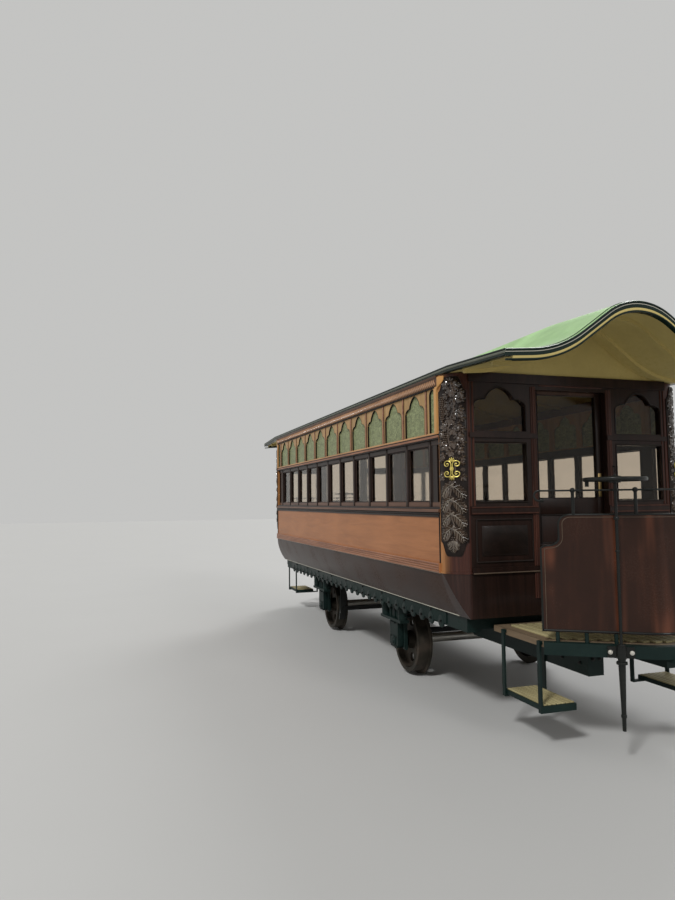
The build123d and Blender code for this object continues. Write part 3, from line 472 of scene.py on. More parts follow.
class Finish(Enum):
    """The finishes of the car, one for each kind of surface."""

    WAIST = Timber("waist_timber", (0.39, 0.160, 0.060), (0.25, 0.095, 0.033), figure=0.8)
    ARCH = Timber("arch_timber", (0.46, 0.285, 0.115), (0.26, 0.150, 0.058), Grain.UPRIGHT)
    GOLDEN = Timber("golden_timber", (0.56, 0.31, 0.14), (0.36, 0.18, 0.075))
    CONSOLE = Timber("console_timber", (0.60, 0.33, 0.12), (0.40, 0.20, 0.065), Grain.UPRIGHT)
    MOULD = Timber("mould_timber", (0.34, 0.160, 0.092), (0.16, 0.068, 0.038))
    SILL = Timber("sill_timber", (0.15, 0.075, 0.045), (0.06, 0.028, 0.018))
    # Darker than the strands on it: partly the wood's tone, partly painted shade in the gaps between the
    # strands.
    CORNICE = Timber("cornice_timber", (0.15, 0.075, 0.042), (0.06, 0.028, 0.016))
    STRAND = Timber("strand_timber", (0.42, 0.235, 0.125), (0.22, 0.115, 0.060))
    RAIL = Timber("rail_timber", (0.050, 0.028, 0.021), (0.018, 0.010, 0.008))
    MAUVE = Timber("mauve_timber", (0.070, 0.050, 0.044), (0.020, 0.014, 0.012), Grain.UPRIGHT)
    POST = Timber("post_timber", (0.024, 0.014, 0.011), (0.008, 0.005, 0.004), Grain.UPRIGHT)
    BEAD = Timber("bead_timber", (0.014, 0.008, 0.006), (0.005, 0.003, 0.002))
    MAHOGANY = Timber("mahogany_timber", (0.022, 0.010, 0.007), (0.007, 0.004, 0.003), Grain.UPRIGHT)
    RED_POST = Timber("red_post_timber", (0.060, 0.020, 0.012), (0.022, 0.008, 0.005), Grain.UPRIGHT)
    DOOR = Timber("door_timber", (0.085, 0.040, 0.024), (0.034, 0.015, 0.009))
    CARVING = Timber("carved_timber", (0.080, 0.052, 0.034), (0.016, 0.010, 0.007),
                     Grain.UPRIGHT, figure=1.6, roughness=0.18, coat=1.0, specular=0.5)
    # Paler timber for the carving's ribs: a painted highlight along the ridges, where lamps would glint.
    RIB_HIGHLIGHT = Timber("rib_highlight_timber", (0.21, 0.175, 0.135), (0.035, 0.025, 0.018), Grain.UPRIGHT,
                    figure=2.0, roughness=0.2, coat=1.0, specular=0.5)
    CORNER = CornerTimber("corner_timber", (0.40, 0.180, 0.062), (0.060, 0.018, 0.011),
                          (0.034, 0.014, 0.010), 2.865, 1.140)
    SEAT = Timber("seat_timber", (0.34, 0.185, 0.085), (0.17, 0.085, 0.038), board=0.076)
    FLOOR = Timber("floor_timber", (0.20, 0.145, 0.09), (0.10, 0.07, 0.045), roughness=0.6,
                   coat=0.0, board=0.12)
    TREAD = Timber("tread_timber", (0.42, 0.37, 0.20), (0.22, 0.18, 0.09), roughness=0.6, coat=0.0)
    # The dash's painted sheen is a painted reflection: coppery upright streaks over its dark paint.
    DASH = Paint("dash_coat", (0.024, 0.0085, 0.0045), (0.034, 0.014, 0.008), 0.2, 0.12,
                 relief=0.0001, painted_sheen=(0.150, 0.050, 0.026))
    # Pale brown: on the dashes a painted highlight beside the edge bead, and also the pale line at the
    # bulkhead's foot.
    INNER_LINE = Paint("inner_line", (0.105, 0.075, 0.052), (0.05, 0.035, 0.025), 0.35)
    ROCKER = Paint("rocker_coat", (0.036, 0.016, 0.010), (0.085, 0.055, 0.034), 0.28, 0.04, 0.10,
                   wear=0.16, relief=0.0002)
    GREEN = Paint("green_coat", (0.005, 0.015, 0.013), (0.032, 0.044, 0.037), 0.46, 0.0)
    EDGE = Paint("roof_edge_green", (0.004, 0.014, 0.010), (0.02, 0.045, 0.035), 0.3, 0.1,
                 wear=0.12)
    GREY = Paint("eave_grey", (0.13, 0.14, 0.11), (0.24, 0.25, 0.20), 0.4)
    BLACK = Paint("black_coat", (0.008, 0.009, 0.008), (0.032, 0.026, 0.020), 0.32, 0.12)
    CANVAS = Paint("roof_canvas", (0.34, 0.54, 0.25), (0.48, 0.64, 0.38), 0.6, 0.0, 0.1,
                   wear=0.4, relief=0.0010, scale=5.0)
    LINING = Paint("canopy_lining", (0.50, 0.40, 0.15), (0.36, 0.28, 0.09), 0.5,
                   wear=0.35, scale=3.0)
    PALE_LINE = Paint("pale_line", (0.52, 0.50, 0.42), (0.30, 0.26, 0.20), 0.35)
    WHEEL = Metal("wheel_metal", (0.055, 0.050, 0.040), (0.050, 0.030, 0.018), 0.5, 0.6)
    STEEL = Metal("bright_steel", (0.55, 0.54, 0.50), (0.20, 0.11, 0.05), 0.28, 0.25)
    BOLT = Metal("bolt_steel", (0.70, 0.68, 0.62), (0.30, 0.22, 0.14), 0.3, 0.15)
    GILT = Metal("gilt", (0.74, 0.62, 0.18), (0.40, 0.25, 0.06), 0.26, 0.2, 0.0004)
    BRASS = Metal("brass", (0.48, 0.34, 0.14), (0.25, 0.15, 0.06), 0.3, 0.25, 0.0002)
    CLEAR = Glazing("clear_glazing", (0.80, 0.73, 0.64))
    FROSTED = Glazing("frosted_glazing", (0.25, 0.28, 0.145), 0.15, 0.0012)

    @cache
    def material(self) -> bpy.types.Material:
        """The finish's material, made the first time that it is asked for."""
        return self.value.make()


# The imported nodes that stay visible, under their finishes
DRESSED = {
    Finish.WAIST: sides("waist_panel"),
    Finish.POST: sides("window_frame"),
    Finish.ARCH: sides("arch_board"),
    Finish.ROCKER: sides("rocker_panel"),
    Finish.CORNER: sides("corner_post_front") + sides("corner_post_rear"),
    Finish.MAHOGANY: ends("bulkhead"),
    Finish.CLEAR: ("lower_lights", "bulkhead_lights"),
    Finish.FROSTED: ("upper_lights",),
    Finish.SEAT: sides("seat"),
    Finish.FLOOR: ("saloon_floor",) + ends("platform_floor"),
    Finish.LINING: ("roof_sticks",) + ends("end_board"),
    Finish.DASH: ends("dash"),
    Finish.BLACK: ("brake_gear",) + ends("dash_rail") + ends("brake_column"),
    Finish.GREEN: ("underframe", "axle_guards", "axle_boxes") + ends("bumper_beam") + ends("steps"),
    Finish.WHEEL: ("front_wheels", "rear_wheels"),
    Finish.STEEL: ("front_axle", "rear_axle"),
}


def dress_nodes() -> None:
    """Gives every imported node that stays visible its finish."""
    for finish, names in DRESSED.items():
        for name in names:
            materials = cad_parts[name].data.materials
            materials.clear()
            materials.append(finish.material())
            log.info("node %s takes %s", name, finish.value.name)


def stations(points: list[Vector], up: Vector, closed: bool = False) -> list[Matrix]:
    """Frames along a path, with Z along it and Y as near up as it can be.

    Args:
        points: the path.
        up: the direction that the profile's second axis keeps to.
        closed: whether the path returns to its start.

    Returns:
        One frame for each point.
    """
    frames = []
    last = len(points) - 1
    for i, point in enumerate(points):
        before = points[i - 1] if i > 0 or closed else point
        after = points[(i + 1) % len(points)] if i < last or closed else point
        travel = (after - before).normalized()
        side = up.cross(travel).normalized()
        matrix = Matrix((side, travel.cross(side), travel)).transposed().to_4x4()
        matrix.translation = point
        frames.append(matrix)
    return frames


def section(x: float, drop: float = 0.0) -> Matrix:
    """The frame of a section across the car, at a place along it and lowered by a drop."""
    return Matrix(((0, 0, 1, x), (1, 0, 0, 0), (0, 1, 0, -drop), (0, 0, 0, 1)))


def stand(centre: Point, direction: Vector) -> Matrix:
    """The frame that stands on a point with its Z along a direction."""
    turn = direction.normalized().to_track_quat("Z", "Y").to_matrix().to_4x4()
    return Matrix.Translation(centre) @ turn


def arc(centre: Flat, radius: float, start: float, stop: float, steps: int) -> Profile:
    """Points on an arc between two angles in degrees."""
    angles = [math.radians(start + (stop - start) * i / steps) for i in range(steps + 1)]
    return [(centre[0] + radius * math.cos(a), centre[1] + radius * math.sin(a)) for a in angles]


class Shop:
    """A mesh under construction from bmesh operators."""

    def __init__(self) -> None:
        """Starts an empty mesh."""
        self.mesh = bmesh.new()

    def soften(self, edges: list[bmesh.types.BMEdge], width: float, segments: int = 2) -> None:
        """Rounds edges."""
        bmesh.ops.bevel(self.mesh, geom=edges, offset=width, segments=segments, profile=0.5,
                        affect="EDGES", material=-1)

    def box(self, one: Point, other: Point, bevel: float = 0.0, segments: int = 2) -> None:
        """Adds a block between two opposite corners, with its edges rounded.

        Args:
            one: one corner.
            other: the opposite corner.
            bevel: the width of the rounding.
            segments: how many faces round each edge.
        """
        a, b = Vector(one), Vector(other)
        matrix = Matrix.Translation((a + b) / 2) @ Matrix.Diagonal((*(abs(c) for c in b - a), 1.0))
        made = bmesh.ops.create_cube(self.mesh, size=1.0, matrix=matrix)["verts"]
        if bevel > 0.0:
            self.soften(list({e for v in made for e in v.link_edges}), bevel, segments)

    def sweep(self, profile: Profile, frames: list[Matrix], closed: bool = False) -> None:
        """Adds a closed profile extruded from frame to frame.

        Args:
            profile: the corners of the profile, in order.
            frames: where the profile stands along the path.
            closed: whether the last frame joins the first.
        """
        verts = [self.mesh.verts.new(frames[0] @ Vector((a, b, 0.0))) for a, b in profile]
        start = [self.mesh.edges.new((v, verts[(i + 1) % len(verts)])) for i, v in enumerate(verts)]
        edges = start
        for before, after in zip(frames, frames[1:]):
            grown = bmesh.ops.extrude_edge_only(self.mesh, edges=edges)["geom"]
            fresh = {v for v in grown if isinstance(v, bmesh.types.BMVert)}
            edges = [e for e in grown if isinstance(e, bmesh.types.BMEdge) and fresh >= set(e.verts)]
            bmesh.ops.transform(self.mesh, matrix=after @ before.inverted(), verts=list(fresh))
        if closed:
            bmesh.ops.bridge_loops(self.mesh, edges=start + edges)
        else:
            bmesh.ops.edgeloop_fill(self.mesh, edges=start)
            bmesh.ops.edgeloop_fill(self.mesh, edges=edges)

    def tube(self, points: Iterable[Point], radius: float, faces: int = 8, up: Vector = UP,
             closed: bool = False, tip: float = 1.0) -> None:
        """Adds a round bar along a path.

        Args:
            points: the path.
            radius: the bar's radius.
            faces: how many faces go round it.
            up: a direction that is never along the path.
            closed: whether it returns to its start.
            tip: the share of the radius that is left at its end.
        """
        frames = stations([Vector(p) for p in points], up, closed)
        if tip != 1.0:
            last = len(frames) - 1
            frames = [f @ Matrix.Scale(1 + (tip - 1) * i / last, 4) for i, f in enumerate(frames)]
        self.sweep(arc((0.0, 0.0), radius, 0, 360, faces)[:-1], frames, closed)

    def ring(self, corners: list[Point], radius: float, up: Vector = AHEAD) -> None:
        """Adds a frame of straight round bars from corner to corner."""
        for pair in zip(corners, corners[1:] + corners[:1]):
            self.tube(pair, radius, up=up)

    def ball(self, centre: Vector, radius: float, detail: int = 2, stretch: Triple = (1, 1, 1),
             direction: Vector | None = None) -> None:
        """Adds a ball or an egg.

        Args:
            centre: where it is.
            radius: its radius before it is stretched.
            detail: how often its faces are divided.
            stretch: its length along each of its own axes, as shares of the radius.
            direction: where its own third axis points, if that isn't up.
        """
        matrix = Matrix.Translation(centre) if direction is None else stand(centre, direction)
        bmesh.ops.create_icosphere(self.mesh, subdivisions=detail, radius=radius,
                                   matrix=matrix @ Matrix.Diagonal((*stretch, 1.0)))

    def drum(self, centre: Point, direction: Vector, radius: float, height: float,
             faces: int = 16, top: float | None = None, bevel: float = 0.0) -> None:
        """Adds a round or many-sided drum that stands on a point.

        Args:
            centre: the middle of its foot.
            direction: the way it points.
            radius: the radius of its foot.
            height: its height.
            faces: how many faces go round it, 6 for a nut.
            top: the radius of its top, if that differs.
            bevel: the rounding of its top edge.
        """
        matrix = stand(centre, direction) @ Matrix.Translation((0, 0, height / 2))
        made = bmesh.ops.create_cone(self.mesh, cap_ends=True, segments=faces, radius1=radius,
                                     radius2=radius if top is None else top, depth=height,
                                     matrix=matrix)["verts"]
        if bevel > 0.0:
            tip = matrix @ Vector((0, 0, height / 2))
            high = {v for v in made if abs((v.co - tip).dot(direction.normalized())) < 1e-5}
            self.soften([e for e in {e for v in high for e in v.link_edges} if high >= set(e.verts)],
                        bevel)

    def lathe(self, outline: Profile, centre: Vector, direction: Vector, steps: int) -> None:
        """Adds a turned shape.

        Args:
            outline: height along the axis and radius, from one end on the axis to the other.
            centre: where the axis starts.
            direction: the axis.
            steps: how many faces go round it.
        """
        part = Shop()
        verts = [part.mesh.verts.new((radius, 0.0, height)) for height, radius in outline]
        edges = [part.mesh.edges.new(two) for two in zip(verts, verts[1:])]
        bmesh.ops.spin(part.mesh, geom=verts + edges, axis=(0, 0, 1), cent=(0, 0, 0),
                       angle=2 * math.pi, steps=steps, use_merge=True)
        bmesh.ops.transform(part.mesh, matrix=stand(centre, direction), verts=part.mesh.verts)
        self.take(part)

    def take(self, other: Shop) -> None:
        """Takes over the mesh of another, which is used up.

        Args:
            other: where the mesh comes from.
        """
        mesh = bpy.data.meshes.new("part")
        other.mesh.to_mesh(mesh)
        other.mesh.free()
        self.mesh.from_mesh(mesh)
        bpy.data.meshes.remove(mesh)

    def bent(self, place: Callable[[Vector], Vector]) -> Shop:
        """A second mesh, with every vertex where a function of its place puts it.

        Args:
            place: gives a vertex its new place from its old one.

        Returns:
            The second mesh.
        """
        other = Shop()
        other.mesh.free()
        other.mesh = self.mesh.copy()
        for vert in other.mesh.verts:
            vert.co = place(vert.co)
        return other

    def done(self, name: str, finish: Finish, slot: str | None = None, body: str = "car",
             replaces: tuple[str, ...] = ()) -> None:
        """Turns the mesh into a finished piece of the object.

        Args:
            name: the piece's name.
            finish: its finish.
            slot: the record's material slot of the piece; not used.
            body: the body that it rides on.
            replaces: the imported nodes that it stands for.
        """
        bmesh.ops.remove_doubles(self.mesh, verts=self.mesh.verts, dist=1e-5)
        bmesh.ops.recalc_face_normals(self.mesh, faces=self.mesh.faces)
        for face in self.mesh.faces:
            face.smooth = True
        mesh = bpy.data.meshes.new(name)
        self.mesh.to_mesh(mesh)
        self.mesh.free()
        mesh.set_sharp_from_angle(angle=SMOOTH_ANGLE)
        mesh.materials.append(finish.material())
        piece = bpy.data.objects.new(name, mesh)
        bpy.context.scene.collection.objects.link(piece)
        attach(piece, body)
        if replaces:
            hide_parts(*replaces)
        log.info("piece %s: %d faces", name, len(mesh.polygons))


@dataclass
class Ogee:
    """The roof's line across the car, from its crest to its eaves."""

    half_width: float
    eave_z: float
    crest_radius: float = 0.450
    haunch: float = math.radians(35.5)
    valley_radius: float = 0.800
    eave_slope: float = math.radians(4.0)
    eave_flat: float = 0.2112
    thick: float = 0.052

    def height(self, y: float) -> float:
        """The height of the roof's top surface.

        Args:
            y: the place across the car.

        Returns:
            The height there.
        """
        reach = abs(y)
        flat_start = self.half_width - self.eave_flat
        top = self.eave_z + self.thick
        if reach >= flat_start:
            return top + (self.half_width - reach) * math.tan(self.eave_slope)
        valley_z = top + self.eave_flat * math.tan(self.eave_slope)
        centre_y = flat_start + self.valley_radius * math.sin(self.eave_slope)
        centre_z = valley_z + self.valley_radius * math.cos(self.eave_slope)
        haunch_end = centre_y - self.valley_radius * math.sin(self.haunch)
        if reach >= haunch_end:
            return centre_z - math.sqrt(self.valley_radius ** 2 - (centre_y - reach) ** 2)
        haunch_z = centre_z - self.valley_radius * math.cos(self.haunch)
        crest_end = self.crest_radius * math.sin(self.haunch)
        if reach >= crest_end:
            return haunch_z + (haunch_end - reach) * math.tan(self.haunch)
        crest_z = haunch_z + (haunch_end - crest_end) * math.tan(self.haunch)
        centre = crest_z - self.crest_radius * math.cos(self.haunch)
        return centre + math.sqrt(self.crest_radius ** 2 - reach ** 2)

    def line(self, drop: float, reach: float, steps: int = 60) -> Profile:
        """Points across the car on a line so far below the roof's, out to a reach each way."""
        places = [-reach + 2 * reach * i / steps for i in range(steps + 1)]
        return [(y, self.height(y) - drop) for y in places]


@dataclass
class Bow:
    """The plan of a platform's rounded front."""

    end_x: float = 3.560
    half_width: float = 0.724
    flank: float = math.radians(57.0)
    nose_radius: float = 0.320

    def x(self, y: float, offset: float) -> float:
        """The place along the car of the bow.

        Args:
            y: the place across the car.
            offset: how far the line is set out from the bow.

        Returns:
            The place along the car.
        """
        nose_x = (self.end_x
                  + (self.half_width - self.nose_radius * math.cos(self.flank))
                  / math.tan(self.flank) - self.nose_radius * math.sin(self.flank))
        radius = self.nose_radius + offset
        if abs(y) <= radius * math.cos(self.flank):
            return nose_x + math.sqrt(radius ** 2 - y ** 2)
        start_x = self.end_x + offset * math.sin(self.flank)
        start_y = self.half_width + offset * math.cos(self.flank)
        return start_x + (start_y - abs(y)) / math.tan(self.flank)


@dataclass
class Side:
    """The mouldings of the two long sides."""

    layout: Layout
    reed: float = 0.0085
    reeds: int = 4
    strand: float = 0.0082
    strand_pitch: float = 0.0325
    strand_lean: float = 0.030
    strand_swell: float = 0.011
    dentil: float = 0.013
    dentil_pitch: float = 0.028
    narrow: float = 0.096
    shoulder: float = 0.197
    shoulder_rise: float = 0.052
    cusp: float = 0.56
    head_swell: float = 0.13
    # where the painted shadow lines stand beside each rib
    rib_shadow_lines: Flat = (-0.014, 0.014)
    post_beads: tuple[float, ...] = (-0.017, 0.017, 0.027, -0.027)

    def build(self) -> None:
        """Builds every moulding."""
        self.reeding()
        self.arches()
        self.posts()
        self.cornice()
        self.edges()

    def bead(self, shop: Shop, y: float, z: float, radius: float) -> None:
        """Adds a lengthwise round bead to each side.

        Args:
            shop: the mesh that it joins.
            y: its distance from the car's middle.
            z: its height.
            radius: its radius.
        """
        reach = self.layout.straight - radius
        for side in SIDES:
            shop.tube([(-reach, side * y, z), (reach, side * y, z)], radius, 10)

    def upright(self, shop: Shop, x: float, y: float, span: Flat, radius: float,
                faces: int = 8) -> None:
        """Adds an upright round bead to each side, from one height to another."""
        for side in SIDES:
            shop.tube([(x, side * y, z) for z in span], radius, faces, ACROSS)

    def block(self, shop: Shop, along: Flat, depth: Flat, span: Flat, bevel: float = 0.0,
              segments: int = 2) -> None:
        """Adds a block to each side, by its places along and across the car and its heights.

        Args:
            shop: the mesh that it joins.
            along: its two places along the car.
            depth: its two distances from the car's middle.
            span: its two heights.
            bevel: the width of its rounding.
            segments: how many faces round each edge.
        """
        for side in SIDES:
            shop.box((along[0], side * depth[0], span[0]), (along[1], side * depth[1], span[1]),
                     bevel, segments)

    def strip(self, shop: Shop, low: float, high: float, back: float, front: float) -> None:
        """Adds a flat lengthwise strip to each side, between two heights and two depths."""
        reach = self.layout.straight
        self.block(shop, (-reach, reach), (back, front), (low, high), 0.0015, 1)

    def reeding(self) -> None:
        """The reeds of the waist mould, and the strips of the sill, the rails and the band, with the
        band's dark lines and a dark bead under the sill that is a painted shadow.
        """
        lay = self.layout
        face = lay.side - lay.frame_recess
        band_low = lay.band_top - lay.band
        step = lay.mould / self.reeds
        reeds, strips, sills, rails, dark, golden = (Shop() for _ in range(6))
        for i in range(self.reeds):
            self.bead(reeds, lay.side + 0.0135, lay.rocker_top + step * (i + 0.5), self.reed)
        self.bead(dark, lay.side + 0.001, band_low + 0.004, 0.004)
        self.bead(dark, lay.side + 0.001, lay.band_top - 0.003, 0.004)
        # A dark bead under the sill's nose: a painted shadow in the gap beneath the sill.
        self.bead(dark, lay.side + 0.003, lay.waist_top + 0.010, 0.007)
        self.strip(strips, band_low + 0.011, lay.band_top - 0.009, lay.side, lay.side + 0.007)
        self.strip(golden, lay.band_top + 0.001, lay.arch_low - 0.001, lay.side, lay.side + 0.004)
        self.strip(sills, lay.waist_top + 0.020, lay.waist_top + 0.044, lay.side, lay.side + 0.018)
        self.strip(sills, lay.waist_top + lay.sill, lay.light_low - 0.002, face, face + 0.003)
        self.strip(rails, lay.light_top + 0.002, band_low, face, face + 0.004)
        reeds.done("side_reeding", Finish.MOULD, "mould_wood")
        strips.done("band_strips", Finish.MOULD, "mould_wood")
        golden.done("arch_sills", Finish.GOLDEN, "arch_wood")
        sills.done("window_sills", Finish.SILL, "mould_wood")
        rails.done("window_head_rails", Finish.RAIL, "mould_wood")
        dark.done("band_lines_and_sill_shadow", Finish.BEAD, "post_wood")

    def arch_line(self, width: float) -> Profile:
        """The outline of one arched light from foot to foot.

        Args:
            width: the light's width.

        Returns:
            The place along the car and the height of each point.
        """
        lay = self.layout
        half = width / 2
        cusp = half * self.cusp
        shoulder = lay.arch_low + self.shoulder
        step = shoulder + self.shoulder_rise
        right = [(half, lay.arch_low), (half, shoulder)]
        for i in range(1, 7):
            angle = math.radians(90 * i / 6)
            right.append((cusp + (half - cusp) * math.cos(angle),
                          shoulder + self.shoulder_rise * math.sin(angle)))
        chord = Vector((-cusp, lay.arch_tip - step))
        sagitta = self.head_swell * chord.length
        radius = chord.length_squared / (8 * sagitta) + sagitta / 2
        swing = math.asin(chord.length / 2 / radius)
        ahead = chord.normalized()
        middle = Vector((cusp, step)) + chord / 2
        for i in range(1, 9):
            angle = swing * (i / 4 - 1)
            out = radius * math.cos(angle) - radius + sagitta
            point = middle + ahead * radius * math.sin(angle) + Vector((ahead.y, -ahead.x)) * out
            right.append(tuple(point))
        return right + [(-x, z) for x, z in reversed(right[:-1])]

    def arches(self) -> None:
        """The reveals of the arched and narrow lights, dark as painted shade, and the ribs between them,
        each with dark lines along both sides as painted shadow.
        """
        lay = self.layout
        reveals, ribs, lines = Shop(), Shop(), Shop()
        wide = self.arch_line(lay.bay - lay.rib)
        half = self.narrow / 2
        head = arc((0.0, lay.arch_tip - half), half, 0, 180, 14)
        narrow = [(half, lay.arch_low)] + head + [(-half, lay.arch_low)]
        narrow_x = (lay.bay * lay.bays / 2 + lay.straight) / 2
        places = [(x, wide) for x in lay.bay_centres()]
        places += [(narrow_x, narrow), (-narrow_x, narrow)]
        # The reveals are dark: painted shade in the recess round each light.
        profile = [(-0.002, -0.0075), (0.002, -0.0075), (0.002, 0.0075), (-0.002, 0.0075)]
        for side in SIDES:
            y = side * (lay.side - 0.0065)
            for middle, line in places:
                path = [Vector((middle + x, y, z)) for x, z in line]
                reveals.sweep(profile, stations(path, ACROSS))
        span = (lay.arch_low, lay.cornice_low)
        for x in lay.bay_edges():
            self.block(ribs, (x - 0.011, x + 0.011), (lay.side, lay.side + 0.007), span, 0.002)
            # Dark lines beside each rib: painted shadow of the rib.
            for shift in self.rib_shadow_lines:
                self.upright(lines, x + shift, lay.side, span, 0.0035, 6)
        reveals.done("arch_reveal_shade", Finish.BEAD, "post_wood")
        ribs.done("arch_ribs", Finish.MOULD, "arch_wood")
        lines.done("arch_rib_shadow_lines", Finish.BEAD, "post_wood")

    def posts(self) -> None:
        """The faces and beads of the posts between the lower windows, and the sash lines."""
        lay = self.layout
        faces, beads, sashes = Shop(), Shop(), Shop()
        face = lay.side - lay.frame_recess
        span = (lay.waist_top + lay.sill, lay.band_top - lay.band)
        half = (lay.bay - lay.post) / 2 - 0.005
        for x in lay.bay_edges():
            self.block(faces, (x - 0.010, x + 0.010), (face, face + 0.010), span, 0.003)
            for shift in self.post_beads:
                self.upright(beads, x + shift, face, span, 0.005)
        low, high = lay.light_low + 0.005, lay.light_top - 0.005
        for side in SIDES:
            for x in lay.bay_centres():
                around = ((x - half, low), (x + half, low), (x + half, high), (x - half, high))
                sashes.ring([(a, side * (face - 0.012), z) for a, z in around], 0.0045, ACROSS)
        faces.done("window_post_faces", Finish.MAUVE, "post_wood")
        beads.done("window_post_beads", Finish.POST, "post_wood")
        sashes.done("window_sash_lines", Finish.RAIL, "mould_wood")

    def cornice(self) -> None:
        """The cornice with its slanting strands, in place of its solid, and its small teeth."""
        lay = self.layout
        low, high, out = lay.cornice_low, lay.cornice_top, lay.side
        profile = [(out - 0.044, low), (out + 0.004, low), (out + 0.005, low + 0.012),
                   (out + 0.010, low + 0.016), (out + 0.011, high - 0.020),
                   (out + 0.018, high - 0.014), (out + 0.022, high), (out - 0.044, high)]
        base, strands, teeth = Shop(), Shop(), Shop()
        shares = [step / 4 for step in range(5)]
        for side in SIDES:
            base.sweep([(side * y, z) for y, z in profile],
                       [section(x) for x in (-lay.straight, lay.straight)])
            for i in range(1, int(2 * lay.straight / self.strand_pitch)):
                x = -lay.straight + self.strand_pitch * i
                strands.tube([(x + self.strand_lean * (0.5 - share),
                               side * (out + 0.002 + self.strand_swell * math.sin(math.pi * share)),
                               low + 0.014 + (high - low - 0.034) * share) for share in shares],
                             self.strand, 6, ACROSS)
        for i in range(int(2 * lay.straight / self.dentil_pitch)):
            x = -lay.straight + self.dentil_pitch * (i + 0.5)
            self.block(teeth, (x - self.dentil / 2, x + self.dentil / 2),
                       (out - 0.002, out + 0.013), (low - 0.009, low + 0.006))
        # The dark moulding behind the strands is partly painted shade in the gaps between them.
        base.done("cornice_moulding", Finish.CORNICE, "mould_wood", replaces=sides("cornice"))
        strands.done("cornice_strands", Finish.STRAND, "mould_wood")
        teeth.done("cornice_teeth", Finish.BEAD, "post_wood")

    def edges(self) -> None:
        """The pale line at the rocker's foot and the dark beads that frame the waist panel."""
        lay = self.layout
        pale, dark = Shop(), Shop()
        self.bead(pale, lay.side - 0.149, lay.rocker_low + 0.004, 0.005)
        self.bead(pale, lay.side + 0.008, lay.rocker_top + 0.001, 0.0045)
        self.bead(dark, lay.side + 0.002, lay.waist_top - 0.010, 0.010)
        for x in (0.012 - lay.straight, lay.straight - 0.012):
            self.upright(dark, x, lay.side, (lay.rocker_top + lay.mould, lay.waist_top), 0.008)
        pale.done("rocker_foot_line", Finish.PALE_LINE, "mould_wood")
        dark.done("waist_panel_beads", Finish.BEAD, "post_wood")


@dataclass
class Roof:
    """The canvas-covered roof with its dark edge and cream lining."""

    layout: Layout
    ogee: Ogee
    skin: float = 0.009
    lining: float = 0.012
    fascia_reach: float = 1.036
    fascia_low: float = 0.0835
    fascia_back: float = 0.036

    def build(self) -> None:
        """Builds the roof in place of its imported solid."""
        thick = self.ogee.thick
        self.shell("roof_canvas", (0.0, self.skin), 0.006, Finish.CANVAS, "roof_paint", ("roof",))
        self.shell("roof_boards", (self.skin, thick), 0.0, Finish.EDGE, "frame_green")
        self.shell("canopy_lining", (thick - self.lining, thick + 0.001), 0.045, Finish.LINING,
                   "lining_cream")
        self.fascias()
        self.beads()

    def section(self, x: float) -> Matrix:
        """The frame of a section across the roof, lowered where the canopy droops."""
        return section(x, self.layout.fall(x))

    def shell(self, name: str, depth: Flat, inset: float, finish: Finish, slot: str,
              replaced: tuple[str, ...] = ()) -> None:
        """Builds one layer of the roof.

        Args:
            name: the piece's name.
            depth: how far its top and its underside lie below the roof's top surface.
            inset: how far its edges stand back from the roof's.
            finish: its finish.
            slot: the record's slot for it.
            replaced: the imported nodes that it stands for.
        """
        upper, lower = (self.ogee.line(drop, self.layout.eave - inset, 72) for drop in depth)
        length = self.layout.canopy - inset
        places = [-length, *(self.layout.end * i / 8 for i in range(-8, 9)), length]
        shop = Shop()
        shop.sweep(upper + lower[::-1], [self.section(x) for x in places])
        shop.done(name, finish, slot, replaces=replaced)

    def fascias(self) -> None:
        """The dark boards that close the front of each canopy."""
        shop = Shop()
        line = self.ogee.line(0.012, self.fascia_reach)
        line += self.ogee.line(self.fascia_low, self.fascia_reach)[::-1]
        for end in ENDS:
            back, front = self.layout.canopy - self.fascia_back, self.layout.canopy - 0.0005
            shop.sweep(line, [self.section(x) for x in sorted((end * back, end * front))])
        shop.done("canopy_fascias", Finish.EDGE, "frame_green")

    def beads(self) -> None:
        """The beads along the roof's edges; the thin pale bead at each end is a painted highlight along
        the dark edge.
        """
        lay = self.layout
        dark, pale, grey = Shop(), Shop(), Shop()
        round_ends = (
            # mesh, place from the tip, drop, distance from the eaves, radius, faces
            (dark, -0.002, 0.010, 0.004, 0.008, 8), (dark, 0.0, 0.076, 0.004, 0.007, 8),
            # the pale bead is a painted highlight along the top of the dark edge
            (pale, 0.0, 0.024, 0.004, 0.0025, 8), (dark, -0.040, -0.0005, 0.03, 0.0045, 6),
        )
        for end in ENDS:
            for shop, shift, drop, inset, radius, faces in round_ends:
                here = self.section(end * (lay.canopy + shift))
                line = self.ogee.line(drop, lay.eave - inset)
                shop.tube([here @ Vector((y, z, 0.0)) for y, z in line], radius, faces, AHEAD)
        edge = self.ogee.eave_z + self.ogee.thick
        for side in SIDES:
            for drop, radius, shop in ((0.008, 0.007, dark), (0.044, 0.008, dark), (0.026, 0.011, grey)):
                shop.tube([(x, side * (lay.eave - 0.001), edge - drop - lay.fall(x))
                           for x in (-lay.canopy, -lay.end, lay.end, lay.canopy)], radius)
        dark.done("roof_edge_beads", Finish.EDGE, "frame_green")
        grey.done("roof_eave_strips", Finish.GREY, "frame_green")
        # The pale bead's finish is a painted highlight.
        pale.done("roof_edge_highlight", Finish.PALE_LINE, "lining_cream")


